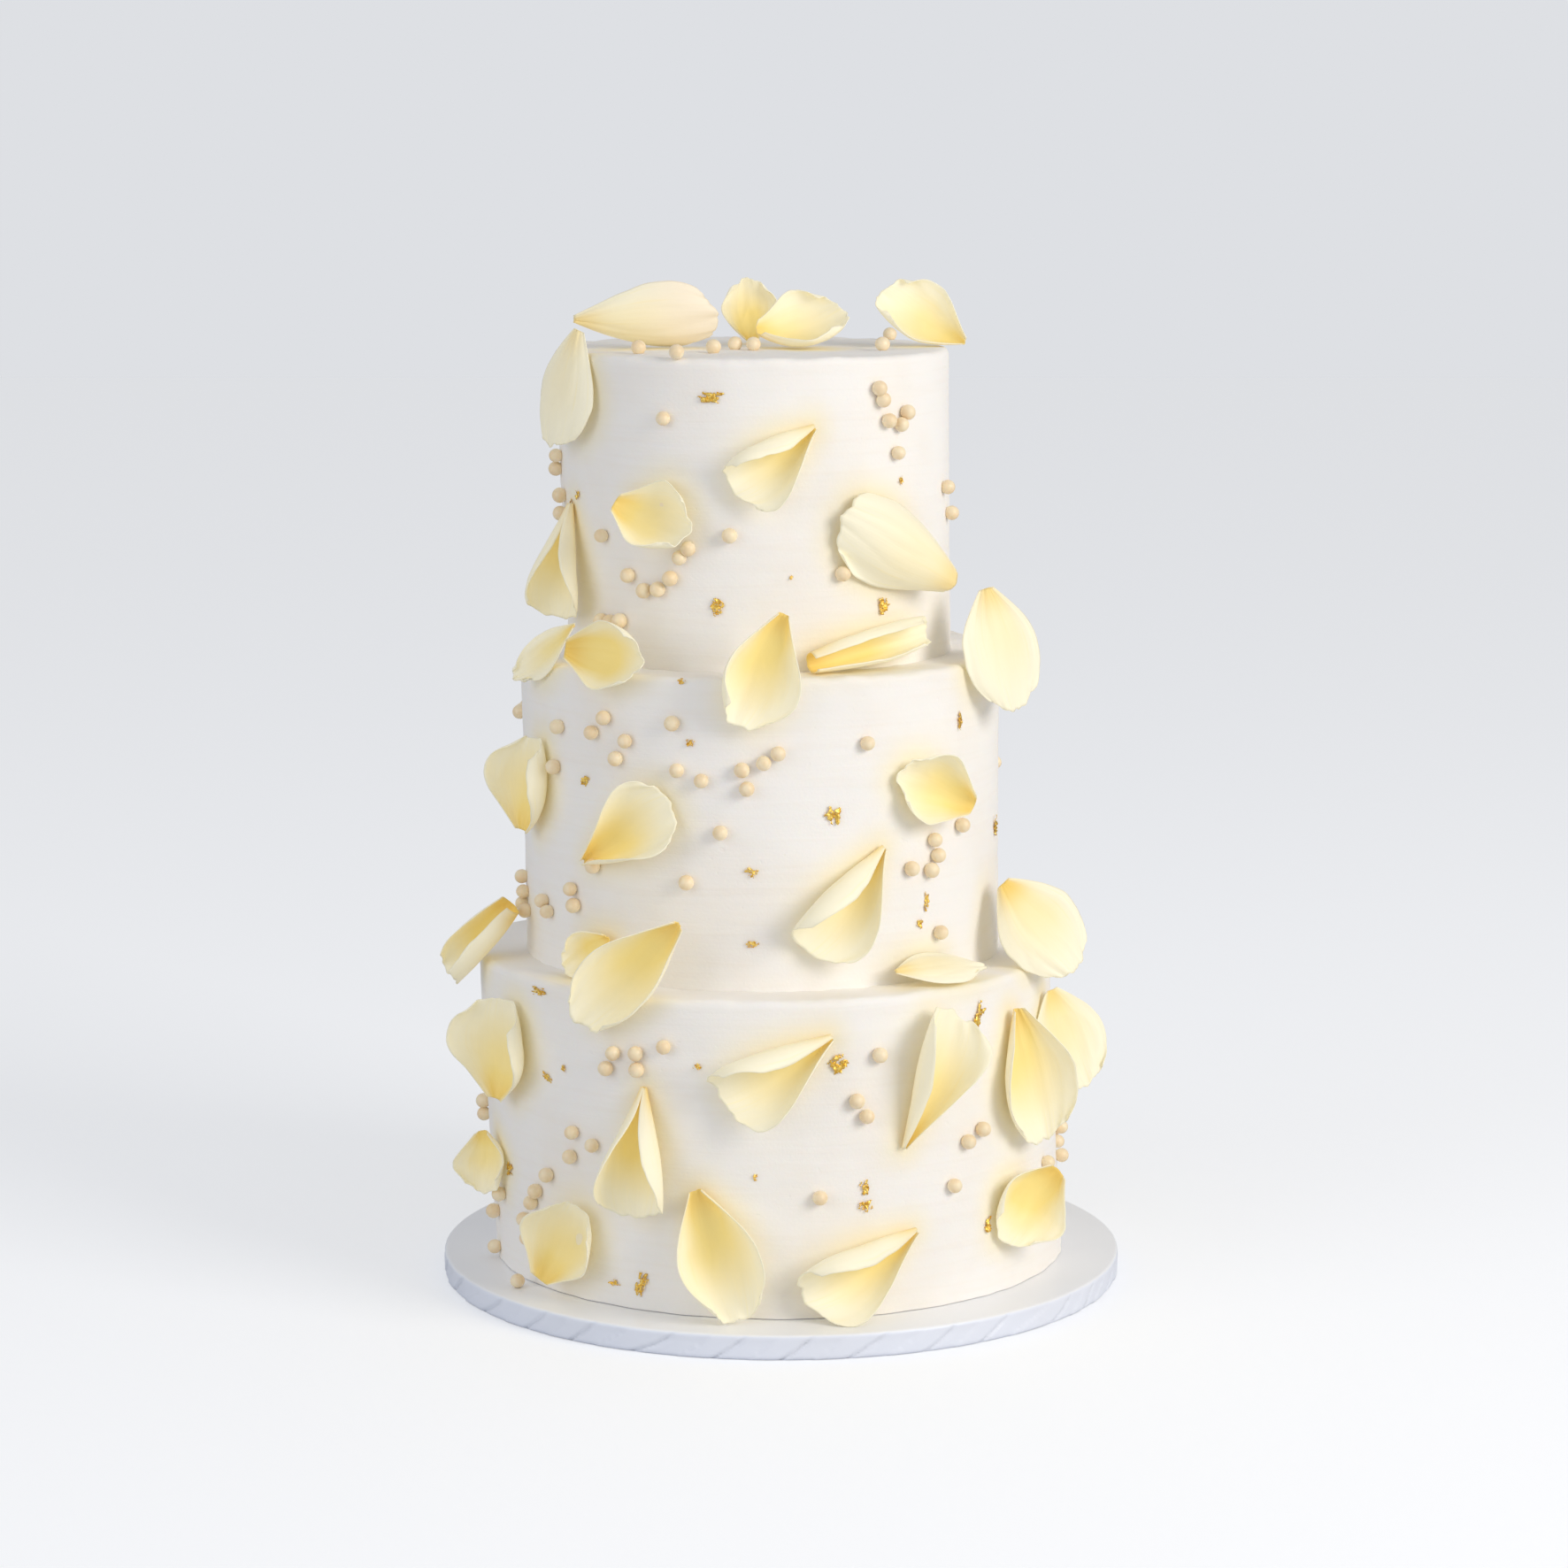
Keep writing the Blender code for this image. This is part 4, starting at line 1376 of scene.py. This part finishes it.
@dataclass(frozen=True)
class Studio:
    """The floor, the light and the camera."""

    camera_place: tuple[float, float, float] = (1.28 * MM, -1920 * MM, 531 * MM)
    camera_dip: float = 9.17
    lens: float = 100.0
    floor_size: float = 12.0
    floor_colour: Colour = tone(214, 216, 220)
    floor_lift: Colour = tone(165, 165, 164)
    backdrop: Colour = tone(222, 224, 228)

    def lamp(
        self, name: str, place: tuple[float, float, float], size: float, power: float, colour: Colour
    ) -> None:
        """Hangs a square soft lamp that looks at the cake.

        Args:
            name: Its name.
            place: Where it hangs.
            size: The length of its side.
            power: Its power, in watts.
            colour: Its colour.
        """
        light = bpy.data.lights.new(name, "AREA")
        light.size = size
        light.energy = power
        light.color = colour[:3]
        made = bpy.data.objects.new(name, light)
        made.location = place
        aim = Vector((0, 0, 0.2)) - Vector(place)
        made.rotation_euler = aim.to_track_quat("-Z", "Y").to_euler()
        bpy.context.scene.collection.objects.link(made)

    def floor(self) -> None:
        """Lays the plain pale floor."""
        bm = bmesh.new()
        bmesh.ops.create_grid(bm, x_segments=1, y_segments=1, size=self.floor_size / 2)
        mesh = bpy.data.meshes.new("floor")
        bm.to_mesh(mesh)
        bm.free()
        bench = Bench("floor")
        seen = bench.value("ShaderNodeLightPath", None, None, "Is Camera Ray")
        lifted = bench.blend(seen, (0.0, 0.0, 0.0, 1.0), self.floor_lift)
        shader = bench.surface(
            Base_Color=self.floor_colour, Roughness=0.9, Emission_Color=lifted, Emission_Strength=1.0
        )
        mesh.materials.append(bench.done(shader))
        made = bpy.data.objects.new("floor", mesh)
        bpy.context.scene.collection.objects.link(made)
        made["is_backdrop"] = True

    def sky(self) -> None:
        """Sets the even light all round."""
        world = bpy.data.worlds.new("studio")
        world.use_nodes = True
        tree = world.node_tree
        light = tree.nodes["Background"]
        light.inputs["Color"].default_value = tone(236, 238, 243)
        light.inputs["Strength"].default_value = 0.6
        seen = tree.nodes.new("ShaderNodeBackground")
        seen.inputs["Color"].default_value = self.backdrop
        path = tree.nodes.new("ShaderNodeLightPath")
        mix = tree.nodes.new("ShaderNodeMixShader")
        tree.links.new(path.outputs["Is Camera Ray"], mix.inputs[0])
        tree.links.new(light.outputs[0], mix.inputs[1])
        tree.links.new(seen.outputs[0], mix.inputs[2])
        tree.links.new(mix.outputs[0], tree.nodes["World Output"].inputs["Surface"])
        bpy.context.scene.world = world

    def build(self) -> None:
        """Sets up the studio."""
        scene = bpy.context.scene
        scene.view_settings.view_transform = "Standard"
        lens = bpy.data.cameras.new("camera")
        lens.lens = self.lens
        lens.sensor_width = 36.0
        lens.clip_end = 50.0
        camera = bpy.data.objects.new("camera", lens)
        camera.location = self.camera_place
        camera.rotation_euler = (math.radians(90 - self.camera_dip), 0.0, 0.0)
        scene.collection.objects.link(camera)
        scene.camera = camera
        self.floor()
        self.sky()
        self.lamp("key", (1.7, -1.3, 1.1), 1.1, 27.0, tone(255, 250, 243))
        self.lamp("fill", (-1.8, -1.5, 0.9), 1.6, 11.0, tone(245, 248, 255))


def named_petals() -> Iterator[tuple[str, Petal, str]]:
    """Every petal's node name, the petal and its tier's short name, in order."""
    for (tier_name, zone), front in PETALS.items():
        matched = [p for p in front if abs(p.around) < MATCHED_WITHIN and p.rest is not TOP]
        for number, petal in enumerate([*front, *(p.behind() for p in matched)], 1):
            yield f"petal_{tier_name}_{zone}_{number}", petal, tier_name


def points_of(pieces: Iterable[bpy.types.Object]) -> KDTree:
    """The points of some pieces, for finding the nearest."""
    places = [vert.co for made in pieces for vert in made.data.vertices]
    tree = KDTree(len(places))
    for number, place in enumerate(places):
        tree.insert(place, number)
    tree.balance()
    return tree


def main() -> None:
    """Builds the studio, the board, the iced tiers and everything that dresses them."""
    logging.basicConfig(level=logging.INFO, format="%(message)s")
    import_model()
    cad_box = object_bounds()
    Studio().build()
    tiers = (
        Tier.framed("tier_bottom", (127.8 * MM, 127.4 * MM), (-1.1 * MM, -7.9 * MM)),
        Tier.framed("tier_middle", (105.4 * MM, 106.0 * MM), (-8.4 * MM, -9.2 * MM)),
        Tier.framed("tier_top", (84.6 * MM, 86.6 * MM), (-9.5 * MM, -13.1 * MM)),
    )
    board = DrumBoard()
    log.info("made %s", board.build(BoardFoil().build()).name)
    slab = Tier.framed("board", (board.radius, board.radius), (0.0, 0.0))
    maker = PetalMaker(tiers, slab, PetalFlesh(Side.HOLLOW).build(), PetalFlesh(Side.OUTER).build())
    petals = []
    for number, (name, petal, tier_name) in enumerate(named_petals()):
        tier = next(t for t in tiers if t.name == f"tier_{tier_name}")
        petals.append(maker.build(name, petal, tier, 1.7 * number + 0.4))
        log.info("made %s", petals[-1].name)
    near_petals = points_of(petals)
    cream = Buttercream().build()
    for number, tier in enumerate(tiers):
        icing = Icing() if number else Icing(foot_sunk=0.0)
        log.info("made %s", icing.build(tier, 2.3 + 5.1 * number, near_petals, cream).name)
    log.info("made %s", Pearls(tiers).build(near_petals, SugarPearl().build()).name)
    log.info("made %s", GoldScraps(tiers).build(GoldLeaf().build()).name)
    boxes = {"cad": cad_box, "visual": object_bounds()}
    json.dumps({k: [list(corner) for corner in box] for k, box in boxes.items()})


if __name__ == "__main__":
    main()
